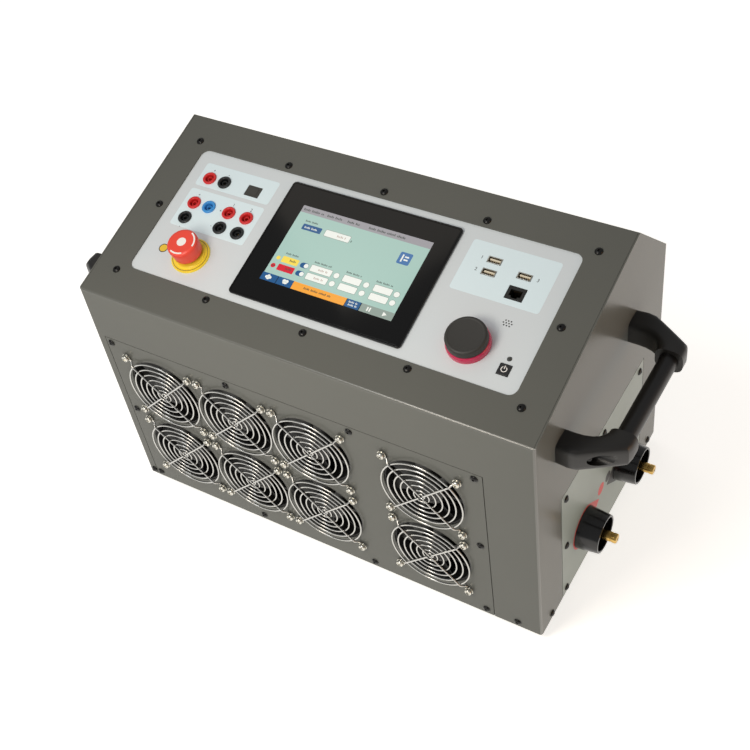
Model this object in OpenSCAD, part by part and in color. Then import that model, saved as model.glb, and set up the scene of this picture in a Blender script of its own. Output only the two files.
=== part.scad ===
// Battery load tester: folded sheet case with a wall of cooling fans, a sloped control panel,
// two high-current pin connectors and two carrying handles.
// Millimetres. X points right, Y to the back, Z up. The feet stand on z = 0.

/* [Case] */
// width of the case over its side walls
case_w = 519; // [505:1:560]
// depth of the case from the front to the back wall
case_d = 304; // [296:1:330]
// height of the front wall over the case underside
front_h = 302.5; // [296:0.5:320]
// rise of the sloped top from its front edge to the ridge
top_rise = 63; // [55:0.5:75]
// distance of the ridge behind the front wall
ridge_y = 230; // [224:1:240]
// height of the back wall over the case underside
back_h = 292; // [284:1:305]
// thickness of the folded sheet
sheet_t = 1.5; // [1.2:0.1:2]
// outside radius of the bends
bend_r = 3; // [2.5:0.1:5]
// gap round the flush plates
plate_gap = 0.9; // [0.3:0.1:1]
// height of the rubber feet
foot_h = 10; // [8:0.5:16]
// radius of a foot at its top
foot_r = 12.5; // [10:0.5:16]
// distance of a foot's centre from the case edges
foot_inset = 38; // [30:1:60]
// depth of the inner shelf under the front edge of the top
shelf_drop = 63; // [60:1:80]
// height kept free for the mains inlet between the shelf and the back wall's top
inlet_room = 52.5; // [48:0.5:60]
// mains inlet's middle from the case's side
inlet_side = 81.5; // [60:0.5:120]

/* [Fans] */
// side of a square fan frame
fan_size = 92; // [88:0.5:93]
// depth of a fan frame
fan_depth = 25; // [20:0.5:30]
// free gap between two fans side by side
fan_gap_x = 2.5; // [1:0.1:4]
// free gap between the two rows of fans
fan_gap_z = 8; // [4:0.1:12]
// share of the spare width that lies before the last column of fans, in percent
column_share = 39.2; // [20:0.1:60]
// height of the lower fans' bottom edge over the case underside
fan_floor = 28; // [26:0.1:36]
// margin of the fan plate at the left of the first fans
plate_side = 19; // [18:0.1:22]
// margin of the fan plate at the right of the last fans
plate_right = 21.6; // [20:0.1:24]
// margin of the fan plate above the upper fans
plate_top = 15.5; // [12:0.1:18]
// distance of the fan plate from the left wall
plate_left = 12; // [10:0.5:20]
// number of blades on a rotor
blade_count = 7; // [5:1:9]
// pitch angle of the blades
blade_pitch = 40; // [30:1:45]
// number of rings on a wire guard
ring_count = 6; // [5:1:7]
// radius of the small ring in the middle of a guard
eye_r = 3.4; // [3:0.1:4]
// wire thickness of a guard
wire_d = 1.9; // [1.6:0.1:2.2]

/* [Control panel] */
// margin of the panel window at the left and right
win_side = 38.25; // [36:0.25:42]
// margin of the panel window at the front and the ridge
win_end = 39.75; // [38:0.25:42]
// corner radius of the window
win_r = 9; // [6:0.5:12]
// thickness of the control panel
panel_t = 2; // [1.5:0.1:3]
// width of the screen bezel
bezel_w = 197.5; // [190:0.5:205]
// height of the screen bezel
bezel_l = 141.5; // [136:0.5:150]
// how far the bezel stands over the panel
bezel_proud = 3; // [2.5:0.1:4]
// flange radius of a test socket
socket_r = 7.5; // [7:0.1:8.5]
// bore radius of a test socket's contact
contact_bore_r = 2; // [2:0.01:2.1]
// radius of the emergency stop head
stop_r = 16.5; // [15:0.1:17]
// height of the emergency stop head over the panel
stop_top = 26; // [25:0.1:32]
// travel of the emergency stop
stop_travel = 4; // [3:0.1:4.5]
// radius of the knob cap
knob_r = 20.5; // [18:0.1:22]
// height of the knob cap's top over the panel
knob_top = 16; // [14:0.1:20]
// side of the square power button
button_w = 11.6; // [10:0.1:13]
// depth of the control board under the panel
board_drop = 22; // [20:0.5:26]

/* [Connectors] */
// distance of the connector panel behind the front
con_y = 52; // [48:1:60]
// width of the connector panel
con_w = 205; // [195:1:210]
// height of the connector panel
con_h = 170; // [160:1:180]
// height of the connector pins over the case underside
pin_z = 62; // [55:1:80]
// distance between the two connector pins
pin_pitch = 100; // [90:1:104]
// radius of a connector pin
pin_r = 5.5; // [5:0.05:6]
// length of a connector pin over the panel
pin_out = 38; // [34:0.5:44]
// radius of a connector shroud at its root
shroud_r = 24; // [22:0.5:26]
// height of a connector shroud
shroud_h = 24.5; // [20:0.5:28]

/* [Handles] */
// diameter of a handle tube
tube_d = 19; // [18:0.5:22]
// distance of the tube's axis from the side wall
tube_out = 48.7; // [46:0.1:56]
// wall of a handle leg round the tube
leg_wall = 4.5; // [3.5:0.1:5.5]
// length of a leg along the tube, from its screw to its end
leg_l = 30.3; // [28:0.1:34]
// distance of the tube's end from the screw
tube_end = 12; // [11:0.5:15]
// distance between the screws of a handle
handle_pitch = 170; // [160:1:190]
// distance of the handles' middle from the front wall
handle_y = 137; // [130:1:150]
// height of the handles over the case underside
handle_z = 251; // [245:1:256]

/* [Hidden] */
$fn = 48;
rotor_nodes = [for (i = [1:8]) str("fan_rotor_", i)];
guard_nodes = [for (i = [1:8]) str("fan_guard_", i)];

// clearance round a screw in its hole
fit = 0.3;
screw_r = 1.9;
hole_r = screw_r + fit;
running = 0.05;
seam = 0.3;
tray_fit = 0.1;
flange_h = fan_floor - 4;

slope = atan2(top_rise, ridge_y);
slope_len = norm([ridge_y, top_rise]);
ridge_h = front_h + top_rise;
rear_fall = atan2(ridge_h - back_h, case_d - ridge_y);
inner_w = case_w - 2 * sheet_t;

// straight collar at a handle leg's end, and the round of its inner corner
collar_l = 9;
finger_r = 18.5;
guard_z = 3 * wire_d;
ring_z = guard_z - 0.8 * wire_d;
guard_proud = guard_z + wire_d / 2;
inlet_proud = 3.5;
front_y = (guard_proud - case_d - inlet_proud) / 2;

pitch_x = fan_size + fan_gap_x;
pitch_z = fan_size + fan_gap_z;
fans_w = plate_side + plate_right + 4 * fan_size + 3 * fan_gap_x;
column_gap = (case_w - plate_left - fans_w) * column_share / 100;
plate_w = fans_w + column_gap;
plate_h = fan_floor + 2 * fan_size + fan_gap_z + plate_top;
plate_x = plate_left - case_w / 2;
fan_bore_r = fan_size / 2 - 2.5;
plate_hole_r = fan_size / 2 - 0.5;
fan_hole = 0.448 * fan_size;
hub_r = 0.206 * fan_size;

win_w = case_w - 2 * win_side;
win_l = slope_len - 2 * win_end;
win_v = slope_len / 2 + 1.3;
rim_x = win_w / 2 + 10.2;
rim_v = win_l / 2 + 7.4;

left_x = -win_w / 2;
right_x = win_w / 2;
socket_x = [for (d = [26.85, 46.05, 71.75, 94.05]) left_x + d];
socket_v = [46.8, 13.9, -5.6];
red_spots = [[socket_x[0], socket_v[0]], [socket_x[0], socket_v[1]], [socket_x[2], socket_v[1]],
    [socket_x[3], socket_v[1]]];
black_spots = [[socket_x[1], socket_v[0]], [socket_x[0], socket_v[2]], [socket_x[2], socket_v[2]],
    [socket_x[3], socket_v[2]]];
blue_spots = [[socket_x[1], socket_v[1]]];
all_spots = concat(red_spots, black_spots, blue_spots);
socket_barrel_r = socket_r - 1.6;
socket_depth = 24;
contact_drop = 3.3;
stop_skirt = 4.6 + stop_travel;
service_spot = [left_x + 83.35, 46.5];
network_spot = [right_x - 44.95, 20.5];
port_spots = [[right_x - 79.25, 47.8], [right_x - 79.25, 33.8], [right_x - 44.75, 40.2]];
stop_spot = [left_x + 59.95, -45.7];
knob_spot = [right_x - 63.75, -42.4];
button_spot = [right_x - 21.05, -56.5];
light_spot = [right_x - 21.05, -44.6];
speaker_spot = [right_x - 38.65, -11];
post_spots = [for (d = [89.25, 12.25]) for (v = [-70, 60]) [right_x - d, v]];
speaker_holes = concat([for (i = [-1:1]) [2.8 * i, 2.6]], [for (i = [-1.5:1.5]) [2.8 * i, 0]],
    [for (i = [-1:1]) [2.8 * i, -2.6]]);

pin_y = [con_y + con_w / 2 - pin_pitch / 2, con_y + con_w / 2 + pin_pitch / 2];
con_screws = [[10, con_h - 10], [con_w / 2, con_h - 10], [con_w - 10, con_h - 10],
    [10, con_h / 2 - 3], [con_w - 10, con_h / 2 - 3], [9, 8], [con_w - 9, 8]];
plate_cols = [6.5, plate_w / 3 + 7, plate_w * 2 / 3 + 5, plate_w - 8.5];
plate_screws = concat([for (x = plate_cols) [x, plate_h - 6.5]], [for (x = plate_cols) [x, 8]],
    [[6.5, plate_h / 2 + 4.5], [plate_w - 8.5, plate_h / 2 + 4.5]]);
front_screws = [[8 - case_w / 2, 7], [(plate_x + plate_w + case_w / 2) / 2, 8]];
side_screws = [[25, 8], [(con_y + con_w + case_d) / 2 + 3.5, 8]];
back_screws = concat([for (s = [-1, 1]) for (z = [60, 160, 255]) [s * (case_w / 2 - 10), z]],
    [for (x = [-160, 0, 160]) [x, 8]]);
top_screws = concat([for (x = [-rim_x, -rim_x / 2, 0, rim_x / 2, rim_x]) for (s = [-1, 1])
    [x, s * rim_v]], [[-rim_x, 0], [rim_x, 0]]);
shelf_z = min(front_h - shelf_drop, back_h - inlet_room);
bank_x0 = -case_w / 2 + 30;
bank_x1 = case_w / 2 - 55;
inlet_x = inlet_side - case_w / 2;
inlet_z = (shelf_z + back_h) / 2 + 1;
rocker_tilt = 8;

function arc_points(cx, cy, r, a0, a1, n = 6) =
    [for (i = [0:n]) [cx + r * cos(a0 + (a1 - a0) * i / n), cy + r * sin(a0 + (a1 - a0) * i / n)]];
function crease(e) = arc_points(bend_r, front_h - bend_r * tan((90 - slope) / 2), bend_r - e,
    180, 90 + slope);
// where the bend meets the sloped top, lowered square to the sheet by e
function crease_end(e) = [bend_r - (bend_r - e) * sin(slope),
    front_h - bend_r * tan((90 - slope) / 2) + (bend_r - e) * cos(slope)];
// height of the top at depth y, lowered square to the sheet by e
function top_at(y, e) = front_h + y * tan(slope) - e / cos(slope);
function rear_at(y, e) = ridge_h - (y - ridge_y) * tan(rear_fall) - e / cos(rear_fall);
function plan_points(e, back) = concat([[case_w / 2 - e, back], [e - case_w / 2, back]],
    arc_points(bend_r - case_w / 2, bend_r, bend_r - e, 180, 270),
    arc_points(case_w / 2 - bend_r, bend_r, bend_r - e, 270, 360));
// centre of fan i in the front wall: columns from the left, the upper row first
function fan_at(i) = let (c = (i - 1) % 4, r = floor((i - 1) / 4))
    [plate_x + plate_side + fan_size / 2 + c * pitch_x + (c == 3 ? column_gap : 0),
    fan_floor + fan_size / 2 + (1 - r) * pitch_z];

// places: the case, its walls with local Z pointing out, the sloped top and the control panel
module in_case() translate([0, front_y, foot_h]) children();
module on_front(x, z) in_case() translate([x, 0, z]) rotate([90, 0, 0]) children();
module on_right(y, z) in_case() translate([case_w / 2, y, z]) rotate([90, 0, 90]) children();
module on_left(y, z) in_case() translate([-case_w / 2, y, z]) rotate([90, 0, -90]) children();
module on_back(x, z) in_case() translate([x, case_d, z]) rotate([90, 0, 180]) children();
module on_slope(x, v, h = 0) in_case() translate([x, v * cos(slope), front_h + v * sin(slope)])
    rotate([slope, 0, 0]) translate([0, 0, h]) children();
module on_panel(p, h = 0) on_slope(p[0], win_v + p[1], h - sheet_t) children();

module round_rect(w, l, r) polygon(concat(arc_points(w / 2 - r, l / 2 - r, r, 0, 90),
    arc_points(r - w / 2, l / 2 - r, r, 90, 180), arc_points(r - w / 2, r - l / 2, r, 180, 270),
    arc_points(w / 2 - r, r - l / 2, r, 270, 360)));
module slab(w, l, r, h0, h1) translate([0, 0, h0]) linear_extrude(height = h1 - h0)
    round_rect(w, l, r);
module disc(r, h0, h1) translate([0, 0, h0]) cylinder(r = r, h = h1 - h0);
module ring(r, bore, h0, h1) difference() {
    disc(r, h0, h1);
    disc(bore, h0 - 1, h1 + 1);
}
module block(x0, x1, y0, y1, z0, z1) translate([x0, y0, z0]) cube([x1 - x0, y1 - y0, z1 - z0]);
// prism along X from points given as depth and height
module along_x(w, points) rotate([90, 0, 90]) linear_extrude(height = w, center = true)
    polygon(points);

module button_screw(reach) difference() {
    union() {
        disc(2 * screw_r, 0, 1.2);
        translate([0, 0, 1.2]) cylinder(r1 = 2 * screw_r, r2 = 1.3 * screw_r, h = 1);
        disc(screw_r, -reach, 0.1);
    }
    translate([0, 0, 1]) cylinder(r = 1.4, h = 2, $fn = 6);
}
module pan_screw(reach) difference() {
    union() {
        disc(4.7, 0, 0.9);
        disc(4.1, 0.8, 2.3);
        translate([0, 0, 2.3]) cylinder(r1 = 4.1, r2 = 2.9, h = 1.1);
        disc(screw_r, -reach, 0.1);
    }
    block(-0.5, 0.5, -2.2, 2.2, 2.2, 4);
    block(-2.2, 2.2, -0.5, 0.5, 2.2, 4);
}

module base_tray() color("#4e4e4b") difference() {
    in_case() linear_extrude(height = flange_h)
        polygon(plan_points(sheet_t + tray_fit, case_d - sheet_t - tray_fit));
    in_case() block(sheet_t - inner_w / 2, inner_w / 2 - sheet_t,
        2 * sheet_t, case_d - 2 * sheet_t, sheet_t, flange_h + 1);
    for (p = front_screws) on_front(p[0], p[1]) disc(hole_r, -9, 1);
    for (p = plate_screws) if (p[1] < flange_h) on_front(plate_x + p[0], p[1]) disc(hole_r, -9, 1);
    for (p = side_screws) {
        on_right(p[0], p[1]) disc(hole_r, -9, 1);
        on_left(p[0], p[1]) disc(hole_r, -9, 1);
    }
    for (p = con_screws) if (p[1] < flange_h) on_right(con_y + p[0], p[1]) disc(hole_r, -9, 1);
    for (p = back_screws) if (p[1] < flange_h) on_back(p[0], p[1]) disc(hole_r, -9, 1);
    foot_spots() disc(hole_r, -1, 4);
}

module foot_spots() in_case() for (sx = [-1, 1]) for (y = [foot_inset, case_d - foot_inset])
    translate([sx * (case_w / 2 - foot_inset), y, 0]) children();

module feet() color("#1b1b1b") foot_spots() difference() {
    translate([0, 0, -foot_h]) cylinder(r1 = foot_r - 1.5, r2 = foot_r, h = foot_h);
    disc(hole_r, -foot_h - 1, 1);
    disc(2 * screw_r + 0.5, -foot_h - 1, -foot_h / 2);
}

module cover_shell() difference() {
    intersection() {
        along_x(case_w + 2, concat([[0, 0]], crease(0),
            [[ridge_y, ridge_h], [case_d, back_h], [case_d, 0]]));
        linear_extrude(height = ridge_h + 1) polygon(plan_points(0, case_d));
    }
    intersection() {
        along_x(case_w + 2, concat([[sheet_t, -1]], crease(sheet_t),
            [crease_end(-12), [case_d + 9, ridge_h + 60], [case_d + 9, -1]]));
        translate([0, 0, -1]) linear_extrude(height = ridge_h + 20)
            polygon(plan_points(sheet_t, case_d + 9));
    }
}

module cover_flanges() {
    x0 = plate_x - 6;
    x1 = plate_x + plate_w + 8;
    z0 = flange_h + plate_gap;
    z1 = plate_h + 8;
    y0 = sheet_t / 2;
    block(x0, x1, y0, 2 * sheet_t, plate_h - plate_top + 1.5, z1);
    block(x0, plate_x + plate_side - 1.5, y0, 2 * sheet_t, z0, z1);
    block(plate_x + plate_w - plate_right + 1.5, x1, y0, 2 * sheet_t, z0, z1);
    xs = inner_w / 2 - sheet_t;
    xe = inner_w / 2 + sheet_t / 2;
    block(xs, xe, con_y - 8, con_y + con_w + 8, con_h - 18, con_h + 8);
    block(xs, xe, con_y - 8, con_y + 18, z0, con_h + 8);
    block(xs, xe, con_y + con_w - 18, con_y + con_w + 8, z0, con_h + 8);
    for (s = [-1, 1])
        block(s > 0 ? inner_w / 2 - 16 : -xe, s > 0 ? xe : 16 - inner_w / 2,
            case_d - 2 * sheet_t, case_d - sheet_t, z0, back_h - 20);
}

// room for the fan plate and the connector panel, through the wall by the given depth
module plate_windows(deeper) {
    block(plate_x - plate_gap, plate_x + plate_w + plate_gap, -1, sheet_t + deeper, -1,
        plate_h + plate_gap);
    block(inner_w / 2 - deeper, case_w / 2 + 1, con_y - plate_gap, con_y + con_w + plate_gap, -1,
        con_h + plate_gap);
}

module case_cover() color("#5a5a56") difference() {
    in_case() union() {
        difference() {
            cover_shell();
            plate_windows(1);
        }
        difference() {
            cover_flanges();
            plate_windows(0);
        }
    }
    for (p = front_screws) on_front(p[0], p[1]) disc(hole_r, -9, 4);
    for (p = plate_screws) if (p[1] > flange_h) on_front(plate_x + p[0], p[1]) disc(hole_r, -9, 4);
    for (p = con_screws) if (p[1] > flange_h) on_right(con_y + p[0], p[1]) disc(hole_r, -9, 4);
    for (p = back_screws) if (p[1] > flange_h) on_back(p[0], p[1]) disc(hole_r, -9, 4);
    for (p = side_screws) {
        on_right(p[0], p[1]) disc(hole_r, -9, 4);
        on_left(p[0], p[1]) disc(hole_r, -9, 4);
    }
    for (s = [-1, 1]) {
        on_right(handle_y + s * handle_pitch / 2, handle_z) disc(3.3, -9, 4);
        on_left(handle_y + s * handle_pitch / 2, handle_z) disc(3.3, -9, 4);
    }
}

// sloped top round the window, with a fine seam to each side wall
module top_frame() color("#5a5a56") difference() {
    in_case() along_x(inner_w - 2 * seam, [crease_end(0), [ridge_y - 0.2, top_at(ridge_y - 0.2, 0)],
        [ridge_y - 0.2, top_at(ridge_y - 0.2, sheet_t)], crease_end(sheet_t)]);
    on_slope(0, win_v) slab(win_w, win_l, win_r, -5, 5);
    for (p = top_screws) on_slope(p[0], win_v + p[1]) disc(hole_r, -9, 4);
}

module rear_panel() color("#5a5a56") {
    fold = ridge_y + (2 * sheet_t / cos(slope) - sheet_t / cos(rear_fall)) / (tan(slope) + tan(rear_fall));
    difference() {
        in_case() along_x(inner_w - 0.2, [[ridge_y, ridge_h], [case_d, back_h], [case_d, 0],
            [case_d - sheet_t, 0], [case_d - sheet_t, rear_at(case_d - sheet_t, sheet_t)],
            [fold, top_at(fold, 2 * sheet_t)], [ridge_y - 14, top_at(ridge_y - 14, 2 * sheet_t)],
            [ridge_y - 14, top_at(ridge_y - 14, sheet_t)], [ridge_y, top_at(ridge_y, sheet_t)]]);
        for (p = back_screws) on_back(p[0], p[1]) disc(hole_r, -9, 4);
        for (r = [0:11]) for (c = [-1.5:1.5])
            on_back(c * 105, 44 + r * 14.5) block(-42, 42, -2.5, 2.5, -9, 4);
        on_back(inlet_x, inlet_z) block(-26.3, 26.3, -12.3, 12.3, -9, 4);
    }
}

module fan_plate() color("#5a5a56") difference() {
    in_case() block(plate_x, plate_x + plate_w, 0, sheet_t, 0, plate_h);
    for (i = [1:8]) on_front(fan_at(i)[0], fan_at(i)[1]) {
        disc(plate_hole_r, -9, 4);
        guard_spots() disc(hole_r, -9, 4);
    }
    for (p = plate_screws) on_front(plate_x + p[0], p[1]) disc(hole_r, -9, 4);
}

module guard_spots() for (a = [45:90:315]) rotate(a) translate([fan_hole * sqrt(2), 0, 0]) children();

module fan_frame() difference() {
    union() {
        difference() {
            translate([0, 0, -sheet_t - fan_depth]) linear_extrude(height = fan_depth)
                round_rect(fan_size, fan_size, 4);
            disc(fan_bore_r, -99, 9);
        }
        disc(hub_r, -sheet_t - fan_depth, -sheet_t - fan_depth + 3);
        for (a = [0:90:270]) rotate(a)
            block(hub_r - 2, fan_bore_r + 1, -3, 3, -sheet_t - fan_depth, -sheet_t - fan_depth + 3);
        disc(5, -sheet_t - fan_depth, -sheet_t - fan_depth + 7);
    }
    guard_spots() disc(screw_r + 0.25, -99, 9);
    disc(1.5 + running, -sheet_t - fan_depth + 1, 9);
}
module fan_frames() color("#1d1d1d")
    for (i = [1:8]) on_front(fan_at(i)[0], fan_at(i)[1]) fan_frame();

module fan_rotor(i) color("#2a2a29") on_front(fan_at(i)[0], fan_at(i)[1])
    translate([0, 0, -sheet_t - fan_depth]) union() {
        difference() {
            disc(hub_r, 5, fan_depth - 2.5);
            disc(hub_r - 2, 4, fan_depth - 8);
        }
        disc(1.5, 2, fan_depth - 7);
        intersection() {
            for (k = [0:blade_count - 1]) rotate(k * 360 / blade_count)
                translate([hub_r - 1, 0, fan_depth / 2 + 0.5]) rotate([blade_pitch, 0, 0])
                    translate([0, -12, -0.8]) cube([fan_bore_r, 24, 1.6]);
            ring(fan_bore_r - 1.2, hub_r - 1, 1, fan_depth - 1);
        }
    }

module fan_guard(i) color("#c9c9c6") on_front(fan_at(i)[0], fan_at(i)[1]) union() {
    r_out = fan_size / 2 - 0.5;
    step = (r_out - 8.5) / (ring_count - 1);
    w = wire_d / 2;
    c = w * tan(22.5);
    for (r = concat([eye_r], [for (k = [0:ring_count - 1]) 8.5 + k * step]))
        rotate_extrude($fn = 72) translate([r, ring_z])
            polygon([[w, c], [c, w], [-c, w], [-w, c], [-w, -c], [-c, -w], [c, -w], [w, -c]]);
    foot = fan_hole * sqrt(2);
    for (a = [45:90:315]) rotate(a) difference() {
        union() {
            rotate([90, 0, 0]) linear_extrude(height = wire_d, center = true)
                polygon([[eye_r, guard_z + w], [eye_r, guard_z - w], [r_out + 1, guard_z - w],
                    [foot - 5.6, 0], [foot - 2.6, 0], [foot - 2.6, wire_d - 0.3],
                    [foot - 5, wire_d - 0.3], [r_out + 2, guard_z + w]]);
            translate([foot, 0, 0]) disc(3.9, 0, wire_d - 0.3);
        }
        translate([foot, 0, 0]) disc(hole_r, -1, 9);
    }
}

module guard_screws() color("#d6d5d0") for (i = [1:8]) on_front(fan_at(i)[0], fan_at(i)[1])
    guard_spots() translate([0, 0, wire_d - 0.3]) pan_screw(12);

module case_screws() color("#141414") {
    for (p = top_screws) on_slope(p[0], win_v + p[1]) button_screw(7);
    for (p = front_screws) on_front(p[0], p[1]) button_screw(7);
    for (p = plate_screws) on_front(plate_x + p[0], p[1]) button_screw(7);
    for (p = con_screws) on_right(con_y + p[0], p[1]) button_screw(7);
    for (p = back_screws) on_back(p[0], p[1]) button_screw(7);
    for (p = side_screws) {
        on_right(p[0], p[1]) button_screw(7);
        on_left(p[0], p[1]) button_screw(7);
    }
    foot_spots() translate([0, 0, -foot_h / 2]) rotate([180, 0, 0]) button_screw(foot_h / 2 + 5);
}

// one handle in its side wall's frame: X along the tube, Z out
module handle_tube() rotate([0, 90, 0]) translate([-tube_out, 0, 0])
    disc(tube_d / 2, tube_end - handle_pitch / 2, handle_pitch / 2 - tube_end);
module handle_legs() for (s = [-1, 1]) difference() {
    r = tube_d / 2 + leg_wall;
    hull() {
        translate([s * handle_pitch / 2, 0, 0]) cylinder(r = 13, h = 20, $fn = 32);
        translate([s * (handle_pitch / 2 - leg_l + r), 0, tube_out]) sphere(r = r, $fn = 32);
        translate([s * (handle_pitch / 2 - leg_l + collar_l / 2), 0, tube_out]) rotate([0, 90, 0])
            cylinder(r = r, h = collar_l, center = true, $fn = 32);
    }
    translate([s * (handle_pitch / 2 - leg_l - 1), 0, tube_out - r - finger_r]) rotate([90, 0, 0])
        cylinder(r = finger_r, h = 60, center = true);
    translate([s * (handle_pitch / 2 - tube_end - 29), 0, tube_out]) rotate([0, 90, 0])
        cylinder(r = tube_d / 2 + running, h = 60, center = true);
    translate([s * handle_pitch / 2, 0, 0]) {
        disc(3.3, -1, 99);
        disc(7, 12, 99);
    }
}
module handle_bolts() for (s = [-1, 1]) translate([s * handle_pitch / 2, 0, 0]) difference() {
    union() {
        disc(3, -12, 12.1);
        disc(5, 12, 18);
        translate([0, 0, -sheet_t - 5]) cylinder(r = 5.8, h = 5, $fn = 6);
    }
    translate([0, 0, 15]) cylinder(r = 2.9, h = 9, $fn = 6);
}
module handle_tube_right() color("#1c1b1a") on_right(handle_y, handle_z) handle_tube();
module handle_tube_left() color("#1c1b1a") on_left(handle_y, handle_z) handle_tube();
module handle_legs_right() color("#242321") on_right(handle_y, handle_z) handle_legs();
module handle_legs_left() color("#242321") on_left(handle_y, handle_z) handle_legs();
module handle_screws() color("#2b2b2b") {
    on_right(handle_y, handle_z) handle_bolts();
    on_left(handle_y, handle_z) handle_bolts();
}

module control_panel() color("#cfccc7") difference() {
    union() {
        on_panel([0, 0]) slab(win_w + 30, win_l + 25, 4, -panel_t, 0);
        for (p = post_spots) on_panel(p) disc(3, -board_drop, -panel_t + 0.1);
    }
    for (p = top_screws) on_panel(p) disc(hole_r, -9, 4);
    on_panel([0, 0]) block(-bezel_w / 2 + 7, bezel_w / 2 - 7, -bezel_l / 2 + 7, bezel_l / 2 - 7, -9, 4);
    for (p = all_spots) on_panel(p) disc(socket_barrel_r + fit, -9, 4);
    on_panel(service_spot) block(-8.8, 8.8, -6.6, 6.6, -9, 4);
    on_panel(network_spot) block(-9.3, 9.3, -7.4, 7.4, -9, 4);
    for (p = port_spots) on_panel(p) block(-7.5, 7.5, -3.8, 3.8, -9, 4);
    on_panel(stop_spot) disc(11.3, -9, 4);
    on_panel(knob_spot) disc(4.8, -9, 4);
    on_panel(button_spot) block(-button_w / 2 - fit, button_w / 2 + fit, -button_w / 2 - fit,
        button_w / 2 + fit, -9, 4);
    on_panel(light_spot) disc(2.5, -9, 4);
    for (q = speaker_holes) on_panel(speaker_spot + q) cylinder(r = 0.55, h = 20, center = true, $fn = 16);
}

module screen_bezel() color("#17171a") on_panel([0, 0]) difference() {
    union() {
        slab(bezel_w, bezel_l, 4, 0, bezel_proud);
        block(-bezel_w / 2 + 7.3, bezel_w / 2 - 7.3, -bezel_l / 2 + 7.3, bezel_l / 2 - 7.3, -12, 0.1);
    }
    block(-bezel_w / 2 + 12, bezel_w / 2 - 12, -bezel_l / 2 + 12, bezel_l / 2 - 12, -13, 9);
    slab(bezel_w - 4, bezel_l - 4, 2.5, bezel_proud - 1.8, 9);
}
module touch_glass() color("#0d0d10") on_panel([0, 0])
    slab(bezel_w - 4.4, bezel_l - 4.4, 2.5, bezel_proud - 1.8, bezel_proud - 0.2);
module display_module() color("#2c3a36") on_panel([0, 0]) union() {
    block(-bezel_w / 2 + 12.3, bezel_w / 2 - 12.3, -bezel_l / 2 + 12.3, bezel_l / 2 - 12.3, -12.1,
        bezel_proud - 1.9);
    block(-bezel_w / 2 + 3, bezel_w / 2 - 3, -bezel_l / 2 + 3, bezel_l / 2 - 3, -13.6, -12);
}

module stop_legend() color("#f2c51c") on_panel(stop_spot) difference() {
    union() {
        disc(21, 0, 2);
        disc(16.3, 1.9, 4);
    }
    disc(11.3, -1, 9);
}
module stop_block() color("#3a3a3a") on_panel(stop_spot) difference() {
    union() {
        disc(11, -30, 8);
        disc(15, -panel_t - 6, -panel_t);
        block(-15, 15, -20, 20, -58, -29.9);
    }
    disc(6 + running, -28, 9);
}
module stop_plunger() color("#8e1f18") on_panel(stop_spot) disc(6, -21, stop_top - 6);
module stop_head() color("#e2402c") on_panel(stop_spot) difference() {
    union() {
        disc(stop_r, stop_skirt, stop_top - 1.5);
        translate([0, 0, stop_top - 1.5]) cylinder(r1 = stop_r, r2 = stop_r - 1.5, h = 1.5);
    }
    disc(12.4, stop_skirt - 1, 17);
    disc(6 + running, stop_skirt - 1, stop_top - 5.7);
}

module knob_ring() color("#b3153f") on_panel(knob_spot) difference() {
    cylinder(r1 = knob_r + 0.7, r2 = knob_r + 0.2, h = 4);
    disc(8, -1, 9);
}
module knob_cap() color("#34332f") on_panel(knob_spot) difference() {
    union() {
        disc(knob_r, 4.5, knob_top - 1.2);
        translate([0, 0, knob_top - 1.2]) cylinder(r1 = knob_r, r2 = knob_r - 1.2, h = 1.2);
    }
    disc(3.02, 0, knob_top - 3);
    disc(8, 4, 7);
}
module encoder_body() color("#8d8f92") on_panel(knob_spot) difference() {
    union() {
        disc(4.5, -panel_t - 0.1, 5);
        disc(7, 0, 2.2);
        block(-7.5, 7.5, -7.5, 7.5, -panel_t - 8, -panel_t);
    }
    disc(3 + running, -panel_t - 6, 9);
}
module encoder_shaft() color("#a9a9a6") on_panel(knob_spot) disc(3, -panel_t - 5, knob_top - 3.2);

module power_button() color("#26282a") on_panel(button_spot) union() {
    block(-button_w / 2, button_w / 2, -button_w / 2, button_w / 2, -panel_t - 1.5, 1.2);
    block(-button_w / 2 - 0.9, button_w / 2 + 0.9, -button_w / 2 - 0.9, button_w / 2 + 0.9,
        -panel_t - 1.5, -panel_t - 0.3);
    disc(1.5, -board_drop + 6, -panel_t - 1.4);
}
module status_light() color("#3b3d3b") on_panel(light_spot) union() {
    disc(2.2, -board_drop, 0.5);
    translate([0, 0, 0.5]) cylinder(r1 = 2.2, r2 = 1.4, h = 0.6);
}

module socket_body() difference() {
    union() {
        disc(socket_r - 0.4, 0, 2);
        disc(socket_r, 0, 1.6);
        disc(socket_barrel_r, -socket_depth, 0.1);
        disc(socket_r - 0.6, -panel_t - 3, -panel_t);
    }
    disc(4.3, 3 - socket_depth, 9);
}
module sockets_red() color("#c8262a") for (p = red_spots) on_panel(p) socket_body();
module sockets_black() color("#1c1f22") for (p = black_spots) on_panel(p) socket_body();
module socket_blue() color("#3f8fd0") for (p = blue_spots) on_panel(p) socket_body();
module socket_contacts() color("#c9a24a") for (p = all_spots) on_panel(p)
    ring(3, contact_bore_r, 3 - socket_depth, -panel_t - contact_drop);

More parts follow.
